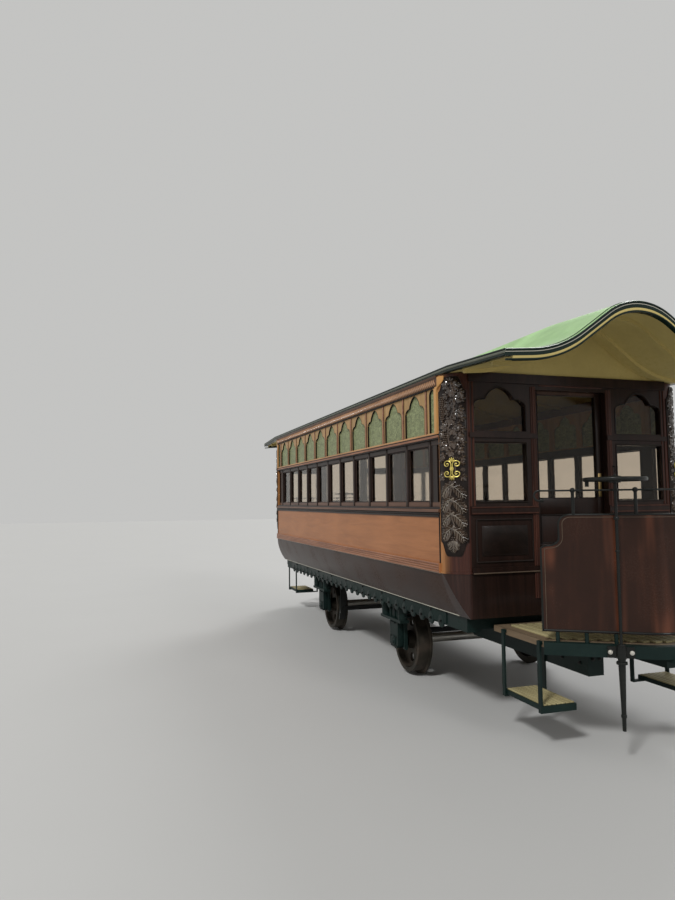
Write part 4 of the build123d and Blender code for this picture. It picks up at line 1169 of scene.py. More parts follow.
@dataclass
class Dash:
    """The trim of the two curved dashes."""

    layout: Layout
    bow: Bow = field(default_factory=Bow)
    offset: float = 0.025
    neck: float = 0.638
    shoulder: float = 0.062
    cove: float = 0.054
    end_round: float = 0.070
    shoulder_drop: float = 0.262
    line_inset: float = 0.017
    foot_reach: float = 0.735

    def outline(self) -> Profile:
        """The dash's outline across the car from one foot over the top to the other foot.

        Returns:
            The place across the car and the height of each point.
        """
        lay = self.layout
        edge = self.bow.half_width + self.offset * math.cos(self.bow.flank)
        ledge = self.neck + self.cove
        shelf = lay.dash_top - self.shoulder_drop + self.cove
        drop = math.degrees(math.acos((edge - ledge) / self.end_round))
        start = self.neck - self.shoulder
        half = [(edge, lay.dash_low)]
        half += arc((ledge, shelf - self.end_round), self.end_round, drop, 90, 5)
        half += arc((ledge, shelf + self.cove), self.cove, 270, 180, 7)
        half += arc((start, lay.dash_top - self.shoulder), self.shoulder, 0, 90, 7)
        half += [(start * (1 - i / 16), lay.dash_top) for i in range(1, 17)]
        return half + [(-y, z) for y, z in reversed(half[:-1])]

    def inner_line(self, line: Profile) -> Profile:
        """An open line moved to its left by the inset of the pale line, which is a painted highlight
        beside the edge bead.

        Args:
            line: places across the car and heights.

        Returns:
            The line beside it.
        """
        moved = []
        for i, point in enumerate(line):
            run = Vector(line[min(len(line) - 1, i + 1)]) - Vector(line[max(0, i - 1)])
            run = run.normalized() * self.line_inset
            moved.append((point[0] - run.y, point[1] + run.x))
        return moved

    def path(self, line: Profile, out: float, end: int) -> list[Vector]:
        """Lays a line across the car onto the dash, so far out, at one end of the car."""
        return [spot(end, self.bow.x(y, self.offset + out), y, z) for y, z in line]

    def build(self) -> None:
        """Builds the edge bead, the pale line inside it as a painted highlight, and the strip along the
        foot.
        """
        edge, lines = Shop(), Shop()
        line = self.outline()
        inner = self.inner_line(line)
        foot = [(self.foot_reach * (i / 20 - 1), self.layout.dash_low + 0.010) for i in range(41)]
        slant = Vector((1, 0.3, 0))
        for end in ENDS:
            edge.tube(self.path(line, 0.0, end), 0.0075, up=slant)
            edge.tube(self.path(foot, 0.004, end), 0.008)
            # The pale inner line is a painted highlight on the edge bead's shoulder.
            lines.tube(self.path(inner, 0.0045, end), 0.0022, 6, slant)
        edge.done("dash_edge_beads", Finish.BLACK, "black_iron")
        lines.done("dash_highlight_lines", Finish.INNER_LINE, "dash_paint")


@dataclass
class CornerCarving:
    """The carved vines on the corner posts, each round a gilt ornament.

    A vine is laid out flat, with its place round the post along X, its relief along Y and its
    height above the floor along Z, and then bent round each of the four corners.
    """

    layout: Layout
    low: float = 1.274
    high: float = 2.645
    left: float = 0.018
    right: float = 0.250
    board: float = 0.006
    cut_width: float = 0.070
    cut_height: float = 0.105
    gilt_height: float = 1.935
    strip_width: float = 0.014
    console_left: float = -0.055
    console_right: float = -0.010
    console_swell: float = 0.080
    console_foot: float = 2.536
    console_top: float = 2.660

    def build(self) -> None:
        """Builds the four carvings, with their boards, gilding and pilasters."""
        vine, ribs, board, gilt, edge, strip = (Shop() for _ in range(6))
        self.slab(board, self.outline(0.0), -0.004, self.board)
        self.stem(vine)
        self.foliage(vine, ribs)
        self.fruit(vine)
        self.tendrils(vine)
        self.ornament(gilt)
        edge.tube([(s, self.board, z) for s, z in self.outline(0.003)], 0.0028, 6, ACROSS, True)
        self.console(strip)
        layers = (("carving", vine, Finish.CARVING, "post_wood"),
                  # The ribs take the paler timber as a painted highlight.
                  ("carving_ribs", ribs, Finish.RIB_HIGHLIGHT, "post_wood"),
                  # The board is near-black: painted shade in the hollows between the leaves.
                  ("carving_board", board, Finish.BEAD, "post_wood"),
                  ("carving_gilding", gilt, Finish.GILT, None),
                  ("carving_edge", edge, Finish.BEAD, "post_wood"),
                  ("console", strip, Finish.CONSOLE, "arch_wood"))
        for end, end_name in ENDS.items():
            for side, side_name in zip(SIDES, ("left", "right")):
                for stem, shop, finish, slot in layers:
                    piece = shop.bent(lambda flat: self.place(flat, end, side))
                    piece.done(f"{stem}_{end_name}_{side_name}", finish, slot)
        for _, shop, _, _ in layers:
            shop.mesh.free()

    def place(self, flat: Vector, end: int, side: int) -> Vector:
        """Carries a point of the flat layout to its corner of the car.

        Args:
            flat: the way round the post, the relief and the height.
            end: the end of the car.
            side: the side of the car.

        Returns:
            The point on the car.
        """
        lay = self.layout
        round_end = lay.corner * math.pi / 2
        middle = lay.side - lay.corner
        reach = lay.corner + flat.y
        if flat.x <= 0.0:
            x, y = lay.straight + flat.x, middle + reach
        elif flat.x >= round_end:
            x, y = lay.straight + reach, middle - (flat.x - round_end)
        else:
            angle = flat.x / lay.corner
            x, y = lay.straight + reach * math.sin(angle), middle + reach * math.cos(angle)
        return Vector((end * x, side * y, flat.z))

    def outline(self, inset: float) -> Profile:
        """The board's outline, with an ogee cut off each corner.

        Args:
            inset: how far inside the board's edge it runs.

        Returns:
            The place round the post and the height of each point.
        """
        left, right = self.left + inset, self.right - inset
        low, high = self.low + inset, self.high - inset
        cut = []
        for i in range(11):
            share = i / 10
            wave = share - 0.16 * math.sin(2 * math.pi * share)
            cut.append((self.cut_width * share, self.cut_height * (1 - wave)))
        back = cut[::-1]
        return ([(left + a, low + b) for a, b in cut] + [(right - a, low + b) for a, b in back]
                + [(right - a, high - b) for a, b in cut] + [(left + a, high - b) for a, b in back])

    def slab(self, shop: Shop, line: Profile, back: float, front: float) -> None:
        """Adds a flat board of a given outline, cut into strips that can bend.

        Args:
            shop: the mesh that it joins.
            line: its outline, as places round the post and heights.
            back: the relief of its back.
            front: the relief of its face.
        """
        part = Shop()
        own = part.mesh
        face = own.faces.new([own.verts.new((s, back, z)) for s, z in line])
        grown = bmesh.ops.extrude_face_region(own, geom=[face])["geom"]
        raised = {v for v in grown if isinstance(v, bmesh.types.BMVert)}
        bmesh.ops.translate(own, vec=(0, front - back, 0), verts=list(raised))
        part.soften([e for e in own.edges if raised >= set(e.verts)], 0.002)
        low, high = min(s for s, _ in line), max(s for s, _ in line)
        cuts = max(2, round((high - low) / self.strip_width))
        for i in range(1, cuts):
            bmesh.ops.bisect_plane(own, geom=[*own.verts, *own.edges, *own.faces],
                                   plane_no=(1, 0, 0), plane_co=(low + (high - low) * i / cuts, 0, 0))
        shop.take(part)

    def stem(self, shop: Shop) -> None:
        """The wavy main stem.

        Args:
            shop: the mesh that it joins.
        """
        path = []
        for i in range(91):
            z = self.low + 0.05 + (self.high - self.low - 0.09) * i / 90
            share = (z - self.low) / (self.high - self.low)
            middle = 0.134 + 0.024 * math.sin(2 * math.pi * 2.6 * share)
            path.append((middle, self.board + 0.004, z))
        shop.tube(path, 0.006, up=ACROSS, tip=0.7)

    def lobe(self, shop: Shop, root: Flat, heading: float, length: float, width: float,
             lift: float, faces: int = 8) -> None:
        """Adds one rounded lobe: a pointed ball, half sunk in the board.

        Args:
            shop: the mesh that it joins.
            root: where it starts, as place round the post and height.
            heading: the way it points, in degrees from the bulkhead's side, upwards.
            length: its length.
            width: its width.
            lift: how far it stands out.
            faces: how many faces go round it.
        """
        turn = math.radians(heading)
        along = Vector((math.cos(turn), 0.0, math.sin(turn)))
        aside = Vector((math.sin(turn), 0.0, -math.cos(turn)))
        matrix = Matrix((aside, ACROSS, along)).transposed().to_4x4()
        matrix.translation = Vector((root[0], self.board, root[1])) + along * length / 2
        size = Matrix.Diagonal((width / 2, lift, length / 2, 1.0))
        bmesh.ops.create_uvsphere(shop.mesh, u_segments=faces, v_segments=5, radius=1.0,
                                  matrix=matrix @ size)

    def ahead(self, root: Flat, heading: float, way: float) -> Flat:
        """The place that lies some way from another."""
        turn = math.radians(heading)
        return root[0] + way * math.cos(turn), root[1] + way * math.sin(turn)

    def vine_leaf(self, shop: Shop, root: Flat, heading: float, size: float, lift: float) -> None:
        """Adds a vine leaf: five main lobes, with a small lobe on each side and a rib on top.

        Args:
            shop: the mesh that it joins.
            root: where its stalk ends.
            heading: the way its tip points, in degrees.
            size: the length of its middle lobe.
            lift: how far its lobes stand out.
        """
        part = Shop()
        for turn, share in ((0, 1.0), (46, 0.84), (-46, 0.84), (98, 0.58), (-98, 0.58)):
            way, length = heading + turn, size * share
            self.lobe(part, root, way, length, 0.44 * length, lift)
            self.lobe(part, root, way, 0.86 * length, 0.10 * length, lift + 0.0028, 5)
            for side in SIDES:
                self.lobe(part, self.ahead(root, way, 0.38 * length), way + side * 36,
                          0.48 * length, 0.24 * length, 0.85 * lift, 6)
        shop.take(part)

    def frond(self, shop: Shop, ribs: Shop, root: Flat, heading: float, length: float,
              lift: float, bend: float) -> None:
        """Adds a long leaf with side lobes like a comb along a curving midrib.

        Args:
            shop: the mesh that it joins.
            ribs: the mesh that its ribs join.
            root: where it starts.
            heading: the way it sets out, in degrees.
            length: its length.
            lift: how far its midrib stands out.
            bend: how far it turns on its way, in degrees.
        """
        steps = 11
        place = root
        path = []
        part = Shop()
        for i in range(steps + 1):
            share = i / steps
            way = heading + bend * share
            path.append(Vector((place[0], self.board + lift * (0.7 + 0.3 * share), place[1])))
            reach = length * 0.48 * math.sin(math.pi * (0.16 + 0.76 * share)) ** 0.8
            for side in SIDES:
                turn = way + side * (58 - 26 * share)
                self.lobe(part, place, turn, reach, 0.17 * reach + 0.0034, 0.84 * lift, 6)
                if i % 2 == 0 and i > 0:
                    tip = self.ahead(place, turn, 0.86 * reach)
                    ribs.tube([path[-1], (tip[0], self.board + 0.80 * lift, tip[1])], 0.0022, 5,
                              ACROSS, tip=0.4)
            place = self.ahead(place, way, length / steps)
        self.lobe(part, (path[-1].x, path[-1].z), heading + bend, 0.14 * length, 0.012, 0.8 * lift)
        ribs.tube(path, 0.0050, 6, ACROSS, tip=0.45)
        shop.take(part)

    def foliage(self, shop: Shop, ribs: Shop) -> None:
        """Every leaf, from the top down.

        Args:
            shop: the mesh that the leaves join.
            ribs: the mesh that the fronds' ribs join.
        """
        vine = (
            # place, height, heading, size
            (0.128, 2.610, 78, 0.034), (0.118, 2.575, 160, 0.052), (0.150, 2.570, 12, 0.056),
            (0.134, 2.552, -88, 0.060), (0.196, 2.530, -58, 0.048), (0.108, 2.505, 215, 0.040),
            (0.150, 2.478, -30, 0.062), (0.206, 2.462, 20, 0.036), (0.128, 2.440, -100, 0.056),
            (0.188, 2.400, -64, 0.052), (0.120, 2.368, 196, 0.036), (0.148, 2.360, -24, 0.058),
            (0.128, 2.318, -98, 0.052), (0.200, 2.318, 4, 0.040), (0.172, 2.278, -70, 0.048),
            (0.100, 2.262, 190, 0.050), (0.140, 2.240, -60, 0.054), (0.206, 2.236, -10, 0.036),
            (0.052, 2.222, 262, 0.042), (0.180, 2.188, -46, 0.054), (0.148, 2.140, -84, 0.050),
            (0.056, 2.150, 250, 0.040), (0.204, 2.128, 10, 0.038), (0.106, 2.110, 208, 0.046),
            (0.180, 2.082, -30, 0.046), (0.124, 2.072, -96, 0.044), (0.070, 2.046, 226, 0.036),
            (0.204, 2.024, -40, 0.036), (0.054, 1.996, 120, 0.032), (0.206, 1.968, 60, 0.030),
            (0.056, 1.884, 232, 0.040), (0.206, 1.878, -52, 0.040), (0.134, 1.850, -90, 0.036),
        )
        for s, z, heading, size in vine:
            self.vine_leaf(shop, (s, z), heading, 1.24 * size, 0.0135)
        for z in (1.812, 1.704, 1.596, 1.488):
            self.frond(shop, ribs, (0.146, z + 0.010), 206, 0.132, 0.0165, 50)
            self.frond(shop, ribs, (0.124, z - 0.004), -26, 0.130, 0.016, -48)
            self.lobe(shop, (0.135, z + 0.022), -90, 0.060, 0.024, 0.018)
        for heading, length in ((270, 0.085), (246, 0.070), (294, 0.070), (222, 0.052), (318, 0.052)):
            self.frond(shop, ribs, (0.134, 1.392), heading, length, 0.014, 0)

    def fruit(self, shop: Shop) -> None:
        """The bunches of grapes, and the bud at the head.

        Args:
            shop: the mesh that they join.
        """
        bunches = (
            # place, height of the top row, berries in each row, berry radius
            (0.062, 2.490, (2, 3, 4, 4, 4, 3, 4, 3, 3, 3, 2, 2, 1), 0.0090),
            (0.092, 2.205, (3, 4, 4, 3, 2, 1), 0.0082),
            (0.168, 2.020, (2, 3, 2, 1), 0.0072),
            (0.134, 1.415, (2, 3, 2), 0.0080),
        )
        draw = random.Random(4)
        for s, top, rows, radius in bunches:
            part = Shop()
            for row, count in enumerate(rows):
                z = top - 1.72 * radius * row
                for i in range(count):
                    aside = (i - (count - 1) / 2) * 2.0 * radius
                    size = 2 * radius * draw.uniform(0.94, 1.06)
                    lift = 0.0145 * (1 - (abs(aside) / 0.070) ** 2)
                    self.lobe(part, (s + aside, z + size / 2), -90, size, size, lift)
            shop.take(part)
        for turn in (60, 90, 120):
            self.lobe(shop, (0.134, 2.600), turn, 0.034, 0.013, 0.013)

    def curl(self, eye: Flat, size: float, start: float, turn: float, relief: float) -> list[Vector]:
        """A spiral path that tightens towards its eye.

        Args:
            eye: its middle.
            size: its outer radius.
            start: the direction of its outer end, in degrees.
            turn: how far it turns, in degrees.
            relief: how far it stands out.

        Returns:
            The path in the flat layout.
        """
        path = []
        for i in range(27):
            share = i / 26
            radius = size * (1 - share) ** 0.8 + 0.002
            s, z = self.ahead(eye, start + turn * share, radius)
            path.append(Vector((s, relief, z)))
        return path

    def tendrils(self, shop: Shop) -> None:
        """The curling tendrils.

        Args:
            shop: the mesh that they join.
        """
        curls = (
            # place, height, size, start, turn
            (0.212, 2.500, 0.018, 200, 560), (0.216, 2.362, 0.014, 160, 540),
            (0.050, 2.262, 0.014, 20, -520), (0.052, 2.092, 0.013, 0, -540),
            (0.216, 2.168, 0.013, 170, 560), (0.052, 1.900, 0.014, -20, 520),
            (0.214, 1.925, 0.014, 200, -520), (0.046, 1.640, 0.012, 30, -500),
            (0.222, 1.650, 0.012, 150, 520), (0.048, 1.500, 0.012, 30, -520),
            (0.220, 1.510, 0.012, 150, 540),
        )
        part = Shop()
        for s, z, size, start, turn in curls:
            path = self.curl((s, z), size, start, turn, self.board + 0.005)
            part.tube(path, 0.0040, 6, ACROSS, tip=0.7)
            part.ball(path[-1] + Vector((0, 0.002, 0)), 0.0052, 1)
        shop.take(part)

    def ornament(self, shop: Shop) -> None:
        """The gilt ornament: four scrolls and two palmettes round a flower.

        Args:
            shop: the mesh that it joins.
        """
        middle = Vector(((self.left + self.right) / 2, self.board + 0.012, self.gilt_height))
        for way in SIDES:
            for up in SIDES:
                eye = (middle.x + way * 0.034, middle.z + up * 0.036)
                path = self.curl(eye, 0.027, 0 if way < 0 else 180, -way * up * 470, middle.y)
                lead = middle + Vector((way * 0.006, 0.0, up * 0.004))
                shop.tube([lead] + path, 0.0040, up=ACROSS, tip=0.75)
                shop.ball(path[-1], 0.0055)
        for up in SIDES:
            root = middle + Vector((0.0, 0.0, up * 0.052))
            for fan in (-52, -26, 0, 26, 52):
                angle = math.radians(90 * up + fan)
                ahead = Vector((math.cos(angle), 0.0, math.sin(angle)))
                size = 0.036 * math.cos(math.radians(fan)) ** 0.5
                shop.ball(root + ahead * size * 0.55, size * 0.5, 2, (0.22, 0.22, 1.0), ahead)
        for s, z in arc((middle.x, middle.z), 0.010, 30, 390, 6)[:-1]:
            shop.ball(Vector((s, middle.y, z)), 0.0062, 2, (1, 0.8, 1))
        shop.ball(middle + Vector((0, 0.004, 0)), 0.0060)

    def console(self, shop: Shop) -> None:
        """The golden strip beside the carving, which swells into a console over its corner.

        Args:
            shop: the mesh that it joins.
        """
        lay = self.layout
        left, right, top = self.console_left, self.console_right, self.console_top
        line = [(left, lay.band_top), (right, lay.band_top)]
        for i in range(13):
            share = i / 12
            wave = share - 0.10 * math.sin(2 * math.pi * share)
            line.append((right + (self.console_swell - right) * wave ** 1.5,
                         self.console_foot + 0.094 * share))
        line += [(self.console_swell, top), (0.001, top), (0.001, lay.cornice_low),
                 (left, lay.cornice_low)]
        self.slab(shop, line, -0.003, 0.011)


@dataclass
class EndWall:
    """The mouldings of the two bulkheads and their sliding doors."""

    layout: Layout
    bead: float = 0.0065
    window_inner: float = 0.430
    window_outer: float = 0.880
    jamb: float = 0.345
    corner: float = 0.925
    pane: float = 0.274
    head_rail: float = 0.060
    panel_low: float = 1.065
    panel_split: float = 1.300
    panel_start: float = 1.345
    panel_high: float = 1.580
    panel_inner: float = 0.395
    panel_outer: float = 0.885
    panel_margin: float = 0.045
    hook_y: float = 0.382
    hook_z: float = 1.960
    pull: float = 0.003

    def build(self) -> None:
        """Builds the mouldings and the door of both ends."""
        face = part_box("corner_post_front_left")[1].x - 0.007
        for end, name in ENDS.items():
            self.wall(face, end, name)
            self.door(end, name)

    def ring(self, shop: Shop, end: int, x: float, across: Flat, span: Flat, radius: float) -> None:
        """Adds a rectangular frame of round bars across the car.

        Args:
            shop: the mesh that it joins.
            end: the end of the car.
            x: where it stands along the car, at the positive end.
            across: its two edges across the car.
            span: its two heights.
            radius: the bars' radius.
        """
        around = ((across[0], span[0]), (across[1], span[0]), (across[1], span[1]),
                  (across[0], span[1]))
        shop.ring([spot(end, x, y, z) for y, z in around], radius)

    def wall(self, x: float, end: int, name: str) -> None:
        """Builds one bulkhead's mouldings.

        Args:
            x: the wall's face at the positive end.
            end: the end of the car.
            name: the end's name.
        """
        lay = self.layout
        dark, red, pale = Shop(), Shop(), Shop()
        inner, outer = self.window_inner - self.bead, self.window_outer + self.bead
        arch = Side(lay).arch_line(outer - inner)
        high = (lay.cornice_low + 0.030, lay.waist_top + 0.064)
        panel = (lay.rocker_top + 0.085, lay.waist_top - 0.040)

        def bar(shop: Shop, way: int, dx: float, z: float, radius: float) -> None:
            """Adds a bar across the wall between the door's jamb and the corner post."""
            shop.tube([spot(end, x + dx, way * y, z) for y in (self.jamb, self.corner)], radius)

        def upright(y: float, span: Flat, radius: float, faces: int) -> None:
            """Adds a red upright."""
            red.tube([spot(end, x, y, z) for z in span], radius, faces, AHEAD)

        for way in SIDES:
            self.ring(dark, end, x, (way * inner, way * outer),
                      (lay.light_low - self.bead, lay.light_top + self.bead), self.bead)
            middle = way * (inner + outer) / 2
            dark.tube([spot(end, x, middle + y, z) for y, z in arch], self.bead, up=AHEAD)
            self.ring(dark, end, x, (way * self.panel_inner, way * self.panel_outer), panel,
                      0.008)
            margin = self.panel_margin
            dark.box(spot(end, x - 0.004, way * (self.panel_inner + margin), panel[0] + margin),
                     spot(end, x + 0.005, way * (self.panel_outer - margin), panel[1] - margin),
                     0.004)
            bar(dark, way, 0.007, lay.band_top - lay.band + 0.006, 0.006)
            bar(dark, way, 0.007, lay.band_top - 0.006, 0.006)
            bar(pale, way, 0.014, lay.rocker_top + 0.003, 0.0055)
            bar(red, way, 0.016, lay.waist_top + 0.008, 0.0060)
            bar(red, way, 0.016, lay.waist_top + 0.054, 0.0060)
            for y in (0.892, 0.922):
                upright(way * y, high, 0.0085, 8)
            for y, radius in ((0.340, 0.0075), (0.358, 0.012), (0.376, 0.0075)):
                upright(way * y, (0.935, lay.cornice_low), radius, 10)
        red.box(spot(end, x - 0.004, -0.300, lay.cornice_low + 0.006),
                spot(end, x + 0.004, 0.300, lay.cornice_low + 0.026), 0.003)
        hook = ((0.0, 0.0), (0.020, 0.002), (0.030, -0.010), (0.030, -0.034), (0.022, -0.046))
        dark.tube([spot(end, x + dx, self.hook_y, self.hook_z + dz) for dx, dz in hook], 0.0045,
                  up=ACROSS)
        dark.drum(spot(end, x, self.hook_y, self.hook_z), Vector((end, 0, 0)), 0.014, 0.007, bevel=0.002)
        dark.done("bulkhead_beads_" + name, Finish.BEAD, "mahogany")
        red.done("bulkhead_posts_" + name, Finish.RED_POST, "mahogany")
        pale.done("bulkhead_foot_line_" + name, Finish.INNER_LINE, "mould_wood")

    def door(self, end: int, name: str) -> None:
        """Builds one door round its tall pane, in place of its packed leaf and glass.

        Args:
            end: the end of the car.
            name: the end's name.
        """
        body = name + "_door"
        leaf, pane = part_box("door_front"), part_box("door_glass_front")
        deep = (leaf[0].x, leaf[1].x - self.pull)
        face = deep[1]
        wide = (-self.pane, self.pane)
        foot, low, head, top = leaf[0].z, pane[0].z, leaf[1].z - self.head_rail, leaf[1].z
        wood, light, glass, dark, brass = (Shop() for _ in range(5))

        def block(shop: Shop, depth: Flat, width: Flat, span: Flat, bevel: float = 0.002) -> None:
            """Adds a block, from its places along and across the car and its heights."""
            shop.box(*(spot(end, *corner) for corner in zip(depth, width, span)), bevel)

        for way in SIDES:
            block(wood, deep, (way * self.pane, way * leaf[1].y), (foot, top))
        block(light, deep, wide, (head, top))
        block(wood, (deep[0] + 0.010, face - 0.010), wide, (foot, low))
        for rail in ((foot, self.panel_low), (self.panel_split, self.panel_start),
                     (self.panel_high, low)):
            block(wood, deep, wide, rail)
        block(glass, (pane[0].x, pane[1].x), wide, (low, head), 0.0)
        reach = self.pane + 0.004
        self.ring(dark, end, face, (-reach, reach), (low - 0.004, head + 0.004), 0.003)
        reach = self.pane - 0.008
        for z0, z1 in ((self.panel_low, self.panel_split), (self.panel_start, self.panel_high)):
            self.ring(dark, end, face - 0.006, (-reach, reach), (z0 + 0.008, z1 - 0.008), 0.006)
        block(brass, (face - 0.001, leaf[1].x - 0.0004), (0.285, 0.317), (1.715, 1.905), 0.001)
        for z in (1.735, 1.885):
            brass.drum(spot(end, face + 0.001, 0.301, z), Vector((end, 0, 0)), 0.004, 0.0016, 10)
        wood.done("door_leaf_" + name, Finish.MAHOGANY, "mahogany", body, ("door_" + name,))
        light.done("door_head_rail_" + name, Finish.DOOR, "mahogany", body)
        glass.done("door_pane_" + name, Finish.CLEAR, "clear_glass", body, ("door_glass_" + name,))
        dark.done("door_beads_" + name, Finish.BEAD, "mahogany", body)
        brass.done("door_pull_plate_" + name, Finish.BRASS, body=body)


def bolt(shop: Shop, place: Vector, way: Vector, size: float) -> None:
    """Adds a washer and a six-sided nut with its bolt end.

    Args:
        shop: the mesh that it joins.
        place: where it stands.
        way: the way it points.
        size: the nut's radius.
    """
    shop.drum(place, way, size * 1.35, size * 0.28, 14)
    shop.drum(place + way * size * 0.28, way, size, size * 0.75, 6, bevel=size * 0.12)
    shop.drum(place + way * size, way, size * 0.48, size * 0.55, 8, size * 0.40)


@dataclass
class Gear:
    """The iron and timber details below the body."""

    layout: Layout
    solebar_face: float = 0.930
    solebar_low: float = 0.690
    guard_face: float = 0.810
    box_face: float = 0.870
    hub_face: float = 0.744
    spring_y: float = 0.830
    spring_reach: float = 0.205
    strap_reach: float = 0.055
    guard_bolt_reach: float = 0.125
    guard_bar_reach: float = 0.135
    guard_bar_low: float = 0.275
    guard_bar_top: float = 0.745
    bearer_y: float = 0.395
    scallop: float = 0.052
    scallops: int = 27
    pitch: float = 0.188

    def build(self) -> None:
        """Builds the details."""
        self.solebars()
        lids, bolts = Shop(), Shop()
        for end in ENDS:
            for side in SIDES:
                self.axle_box(lids, bolts, end * self.layout.axle_x, side)
        lids.done("axle_box_lids", Finish.GREEN, "frame_green")
        bolts.done("axle_box_bolts", Finish.BLACK, "black_iron")
        self.wheels()
        self.bearers()

    def solebars(self) -> None:
        """The scalloped iron strengthening and the bolts along each solebar."""
        plates, bolts = Shop(), Shop()
        low = self.solebar_low
        reach = self.pitch * self.scallops / 2
        for side in SIDES:
            out = Vector((0, side, 0))
            y = side * (self.solebar_face - 0.002)
            for i in range(self.scallops):
                x = (i + 0.5) * self.pitch - reach
                plates.drum((x, y, low + 0.022), out, self.scallop, 0.013, 20, bevel=0.003)
                bolt(bolts, Vector((x, y, low + 0.022)) + out * 0.013, out, 0.010)
                if i % 3 == 1:
                    bolt(bolts, Vector((x, y, low + 0.090)) + out * 0.010, out, 0.009)
            plates.box((-reach, y, low + 0.012), (reach, y + side * 0.011, low + 0.113), 0.003)
        plates.done("solebar_plates", Finish.GREEN, "frame_green")
        bolts.done("solebar_bolts", Finish.BLACK, "black_iron")

    def axle_box(self, lids: Shop, bolts: Shop, x: float, side: int) -> None:
        """The lid, straps, guard bars, spring cups and bolts at one axle box.

        Args:
            lids: the mesh that the plates join.
            bolts: the mesh that the bolts join.
            x: the axle's place along the car.
            side: the side of the car.
        """
        out = Vector((0, side, 0))
        face, guard, axle = side * self.box_face, side * self.guard_face, self.layout.axle_z
        lids.drum((x, face - side * 0.002, axle), out, 0.050, 0.010, 24, bevel=0.003)
        lids.drum((x, face + side * 0.008, axle), out, 0.030, 0.010, 20, 0.024, 0.002)
        strap = ((-1, 0.640), (-1, 0.535), (-0.6, 0.508), (0.6, 0.508), (1, 0.535), (1, 0.640))
        lids.tube([(x + self.strap_reach * way, face + side * 0.006, z) for way, z in strap], 0.008,
                  up=out)
        for way in SIDES:
            beside = x + way * self.strap_reach
            bar = x + way * self.guard_bar_reach
            for dz in (-0.042, 0.042):
                bolt(bolts, Vector((beside, face - side * 0.002, axle + dz)), out, 0.008)
            bolt(bolts, Vector((beside, face + side * 0.006, 0.636)), UP, 0.013)
            for dz in (-0.020, 0.075, 0.170, 0.265, 0.345):
                bolt(bolts, Vector((x + way * self.guard_bolt_reach, guard, axle + dz)), out, 0.009)
            lids.box((bar - 0.014, guard - side * 0.002, self.guard_bar_low),
                     (bar + 0.014, guard + side * 0.010, self.guard_bar_top), 0.003)
            for z, radius in ((0.585, 0.052), (0.625, 0.054), (0.665, 0.052)):
                lids.drum((x + way * self.spring_reach, side * self.spring_y, z), UP, radius, 0.012,
                          24, bevel=0.004)

    def wheels(self) -> None:
        """The raised rings and hub bolts of the wheels, which turn with them."""
        ring = [(-0.004, 0.0), (-0.004, 0.062), (0.006, 0.062), (0.010, 0.056), (0.010, 0.048),
                (0.012, 0.044), (0.012, 0.0)]
        for end, name in ENDS.items():
            rings = Shop()
            for side in SIDES:
                out = Vector((0, side, 0))
                hub = Vector((end * self.layout.axle_x, side * self.hub_face, self.layout.axle_z))
                rings.lathe(ring, hub, out, 28)
                for dx, dz in arc((0.0, 0.0), 0.073, 30, 390, 6)[:-1]:
                    bolt(rings, hub + Vector((dx, -side * 0.004, dz)), out, 0.008)
            rings.done("wheel_hubs_" + name, Finish.WHEEL, "wheel_iron", name + "_wheelset")

    def bearers(self) -> None:
        """The bolts of the platform bearers and the beams."""
        bolts = Shop()
        for end in ENDS:
            for way in SIDES:
                for x in (3.10, 3.30, 3.50):
                    for z in (0.560, 0.650):
                        bolt(bolts, spot(end, x, way * self.bearer_y, z),
                             Vector((0, end * way, 0)), 0.011)
                for share in (-0.028, 0.028):
                    bolt(bolts, spot(end, 3.59, way * 0.33 + share, 0.60), Vector((end, 0, 0)),
                         0.011)
        bolts.done("bearer_bolts", Finish.BLACK, "black_iron")


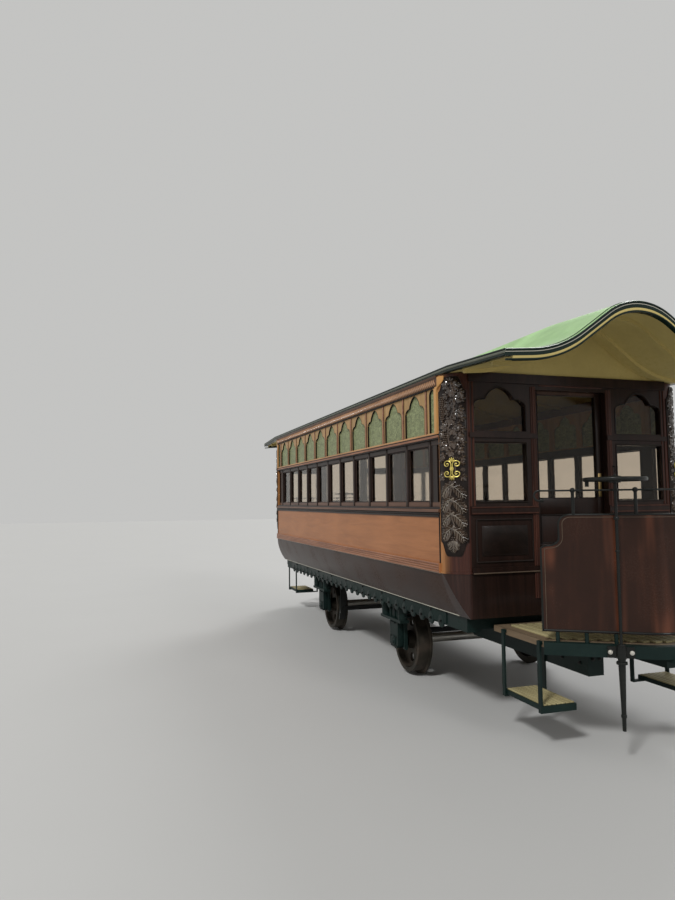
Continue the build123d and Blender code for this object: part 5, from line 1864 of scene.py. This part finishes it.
@dataclass
class Platforms:
    """The boards, treads and brake fittings of the two platforms."""

    layout: Layout
    bow: Bow = field(default_factory=Bow)
    slat: float = 0.052
    slat_gap: float = 0.016
    tread: float = 0.030
    tread_pitch: float = 0.036
    tread_inner: float = 0.490
    tread_inset: float = 0.018
    tread_low: float = 0.303
    tread_top: float = 0.313
    column_y: float = -0.375

    def build(self) -> None:
        """Builds the boards and fittings of both ends."""
        for end, name in ENDS.items():
            self.floor(end, name)
            self.steps(end, name)
            self.brake(end, name)

    def floor(self, end: int, name: str) -> None:
        """The slats that stand on the platform's floor.

        Args:
            end: the end of the car.
            name: the end's name.
        """
        slats = Shop()
        top = self.layout.platform
        half = self.slat / 2
        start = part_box("bulkhead_front")[1].x + 0.030
        for i in range(-9, 10):
            y = i * (self.slat + self.slat_gap)
            reach = self.bow.x(abs(y) + half, -0.055)
            slats.box(spot(end, start, y - half, top - 0.002),
                      spot(end, reach, y + half, top + 0.012), 0.003)
        slats.done("platform_slats_" + name, Finish.TREAD, "floor_wood")

    def steps(self, end: int, name: str) -> None:
        """The grooved treads that lie on the step irons.

        Args:
            end: the end of the car.
            name: the end's name.
        """
        treads = Shop()
        low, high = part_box("steps_front")
        for way in SIDES:
            for i in range(7):
                y = way * (self.tread_inner + self.tread_pitch * i)
                treads.box(spot(end, low.x + self.tread_inset, y - self.tread / 2, self.tread_low),
                           spot(end, high.x - self.tread_inset, y + self.tread / 2, self.tread_top),
                           0.003)
        treads.done("step_treads_" + name, Finish.TREAD, "floor_wood")

    def brake(self, end: int, name: str) -> None:
        """The collars, bracket bolts and nuts of the brake column.

        Args:
            end: the end of the car.
            name: the end's name.
        """
        iron, bright = Shop(), Shop()
        low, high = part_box("brake_column_front")
        centre = spot(end, (low.x + high.x) / 2, self.column_y, 0.0)
        collars = (
            # height, radius, thickness
            (0.745, 0.023, 0.016), (0.634, 0.035, 0.016), (1.560, 0.018, 0.020),
            (1.745, 0.016, 0.020), (0.300, 0.018, 0.018), (1.350, 0.0145, 0.012),
        )
        for z, radius, height in collars:
            iron.drum(centre + UP * z, UP, radius, height, 24, bevel=0.003)
        normal = spot(end, 0.839, -0.545, 0.0)
        along = spot(end, 0.545, 0.839, 0.0)
        for way in (-0.066, 0.066):
            bolt(bright, centre - normal * 0.012 + along * way + UP * 0.705, normal, 0.011)
        bolt(iron, centre + UP * 1.842, UP, 0.012)
        iron.done("brake_collars_" + name, Finish.BLACK, "black_iron")
        bright.done("brake_bolts_" + name, Finish.BOLT, "axle_steel")


@dataclass
class Studio:
    """The floor, the light and the camera."""

    camera_place: Triple = (7.6635, -3.4952, 1.6992)
    yaw: float = 162.1507
    pitch: float = 4.2297
    roll: float = -0.5802
    focal_pixels: float = 691.148
    frame_height: float = 900.0
    sensor: float = 36.0
    floor_half: float = 60.0
    backdrop: Colour = (0.55, 0.55, 0.54)
    floor_colour: Colour = (0.46, 0.46, 0.45)
    sky: float = 0.44

    def build(self) -> None:
        """Sets up the studio."""
        self.floor()
        self.world()
        self.lamps()
        self.camera()
        bpy.context.scene.view_settings.view_transform = "Standard"

    def floor(self) -> None:
        """A plain pale floor below the wheels."""
        mesh = bpy.data.meshes.new("studio_floor")
        work = bmesh.new()
        bmesh.ops.create_grid(work, x_segments=1, y_segments=1, size=self.floor_half)
        work.to_mesh(mesh)
        work.free()
        floor = bpy.data.objects.new("studio_floor", mesh)
        bpy.context.scene.collection.objects.link(floor)
        sheet = Sheet("studio_floor")
        cloud = sheet.noise(sheet.where, 0.8, 3.0, 0.5)
        colour = sheet.mix(cloud, self.floor_colour, scaled(self.floor_colour, 1.04))
        sheet.set(Base_Color=colour, Roughness=0.6)
        mesh.materials.append(sheet.material)

    def world(self) -> None:
        """A plain light sky, which the camera sees as the backdrop."""
        world = bpy.data.worlds.new("studio")
        bpy.context.scene.world = world
        world.use_nodes = True
        nodes, links = world.node_tree.nodes, world.node_tree.links
        seen = nodes["Background"]
        seen.inputs["Color"].default_value = (*self.backdrop, 1.0)
        seen.inputs["Strength"].default_value = 1.0
        light = nodes.new("ShaderNodeBackground")
        light.inputs["Color"].default_value = (1.0, 0.99, 0.97, 1.0)
        light.inputs["Strength"].default_value = self.sky
        path = nodes.new("ShaderNodeLightPath")
        shown = path.outputs["Is Camera Ray"]
        for ray in ("Is Glossy Ray", "Is Transmission Ray"):
            either = nodes.new("ShaderNodeMath")
            either.operation = "MAXIMUM"
            links.new(shown, either.inputs[0])
            links.new(path.outputs[ray], either.inputs[1])
            shown = either.outputs[0]
        mixer = nodes.new("ShaderNodeMixShader")
        links.new(shown, mixer.inputs["Fac"])
        links.new(light.outputs[0], mixer.inputs[1])
        links.new(seen.outputs[0], mixer.inputs[2])
        links.new(mixer.outputs[0], nodes["World Output"].inputs["Surface"])

    def lamps(self) -> None:
        """Three soft lamps."""
        lamps = (
            # name, direction it shines in, strength, apparent width in degrees
            ("key", (-0.55, 0.62, -0.75), 2.1, 9.0),
            ("fill", (-0.85, -0.25, -0.40), 0.6, 18.0),
            ("rear", (0.70, -0.60, -0.70), 1.0, 20.0),
        )
        for name, direction, strength, width in lamps:
            data = bpy.data.lights.new(name, "SUN")
            data.energy = strength
            data.angle = math.radians(width)
            lamp = bpy.data.objects.new(name, data)
            lamp.rotation_mode = "QUATERNION"
            lamp.rotation_quaternion = Vector(direction).to_track_quat("-Z", "Y")
            bpy.context.scene.collection.objects.link(lamp)

    def camera(self) -> None:
        """The camera at the photograph's viewing angle."""
        yaw, pitch, roll = (math.radians(a) for a in (self.yaw, self.pitch, self.roll))
        ahead = Vector((math.cos(yaw) * math.cos(pitch), math.sin(yaw) * math.cos(pitch),
                        math.sin(pitch)))
        right = ahead.cross(UP).normalized()
        up = right.cross(ahead)
        across = right * math.cos(roll) + up * math.sin(roll)
        upward = up * math.cos(roll) - right * math.sin(roll)
        data = bpy.data.cameras.new("camera")
        data.sensor_width = self.sensor
        data.lens = self.focal_pixels / self.frame_height * self.sensor
        camera = bpy.data.objects.new("camera", data)
        matrix = Matrix((across, upward, -ahead)).transposed().to_4x4()
        matrix.translation = Vector(self.camera_place)
        camera.matrix_world = matrix
        bpy.context.scene.collection.objects.link(camera)
        bpy.context.scene.camera = camera


def main() -> None:
    """Builds the car's looks and the studio around it."""
    logging.basicConfig(level=logging.INFO, format="%(name)s: %(message)s")
    layout = Layout.read()
    Studio().build()
    dress_nodes()
    Side(layout).build()
    Roof(layout, Ogee(layout.eave, layout.cornice_top)).build()
    Dash(layout).build()
    CornerCarving(layout).build()
    EndWall(layout).build()
    Gear(layout).build()
    Platforms(layout).build()


if __name__ == "__main__":
    main()
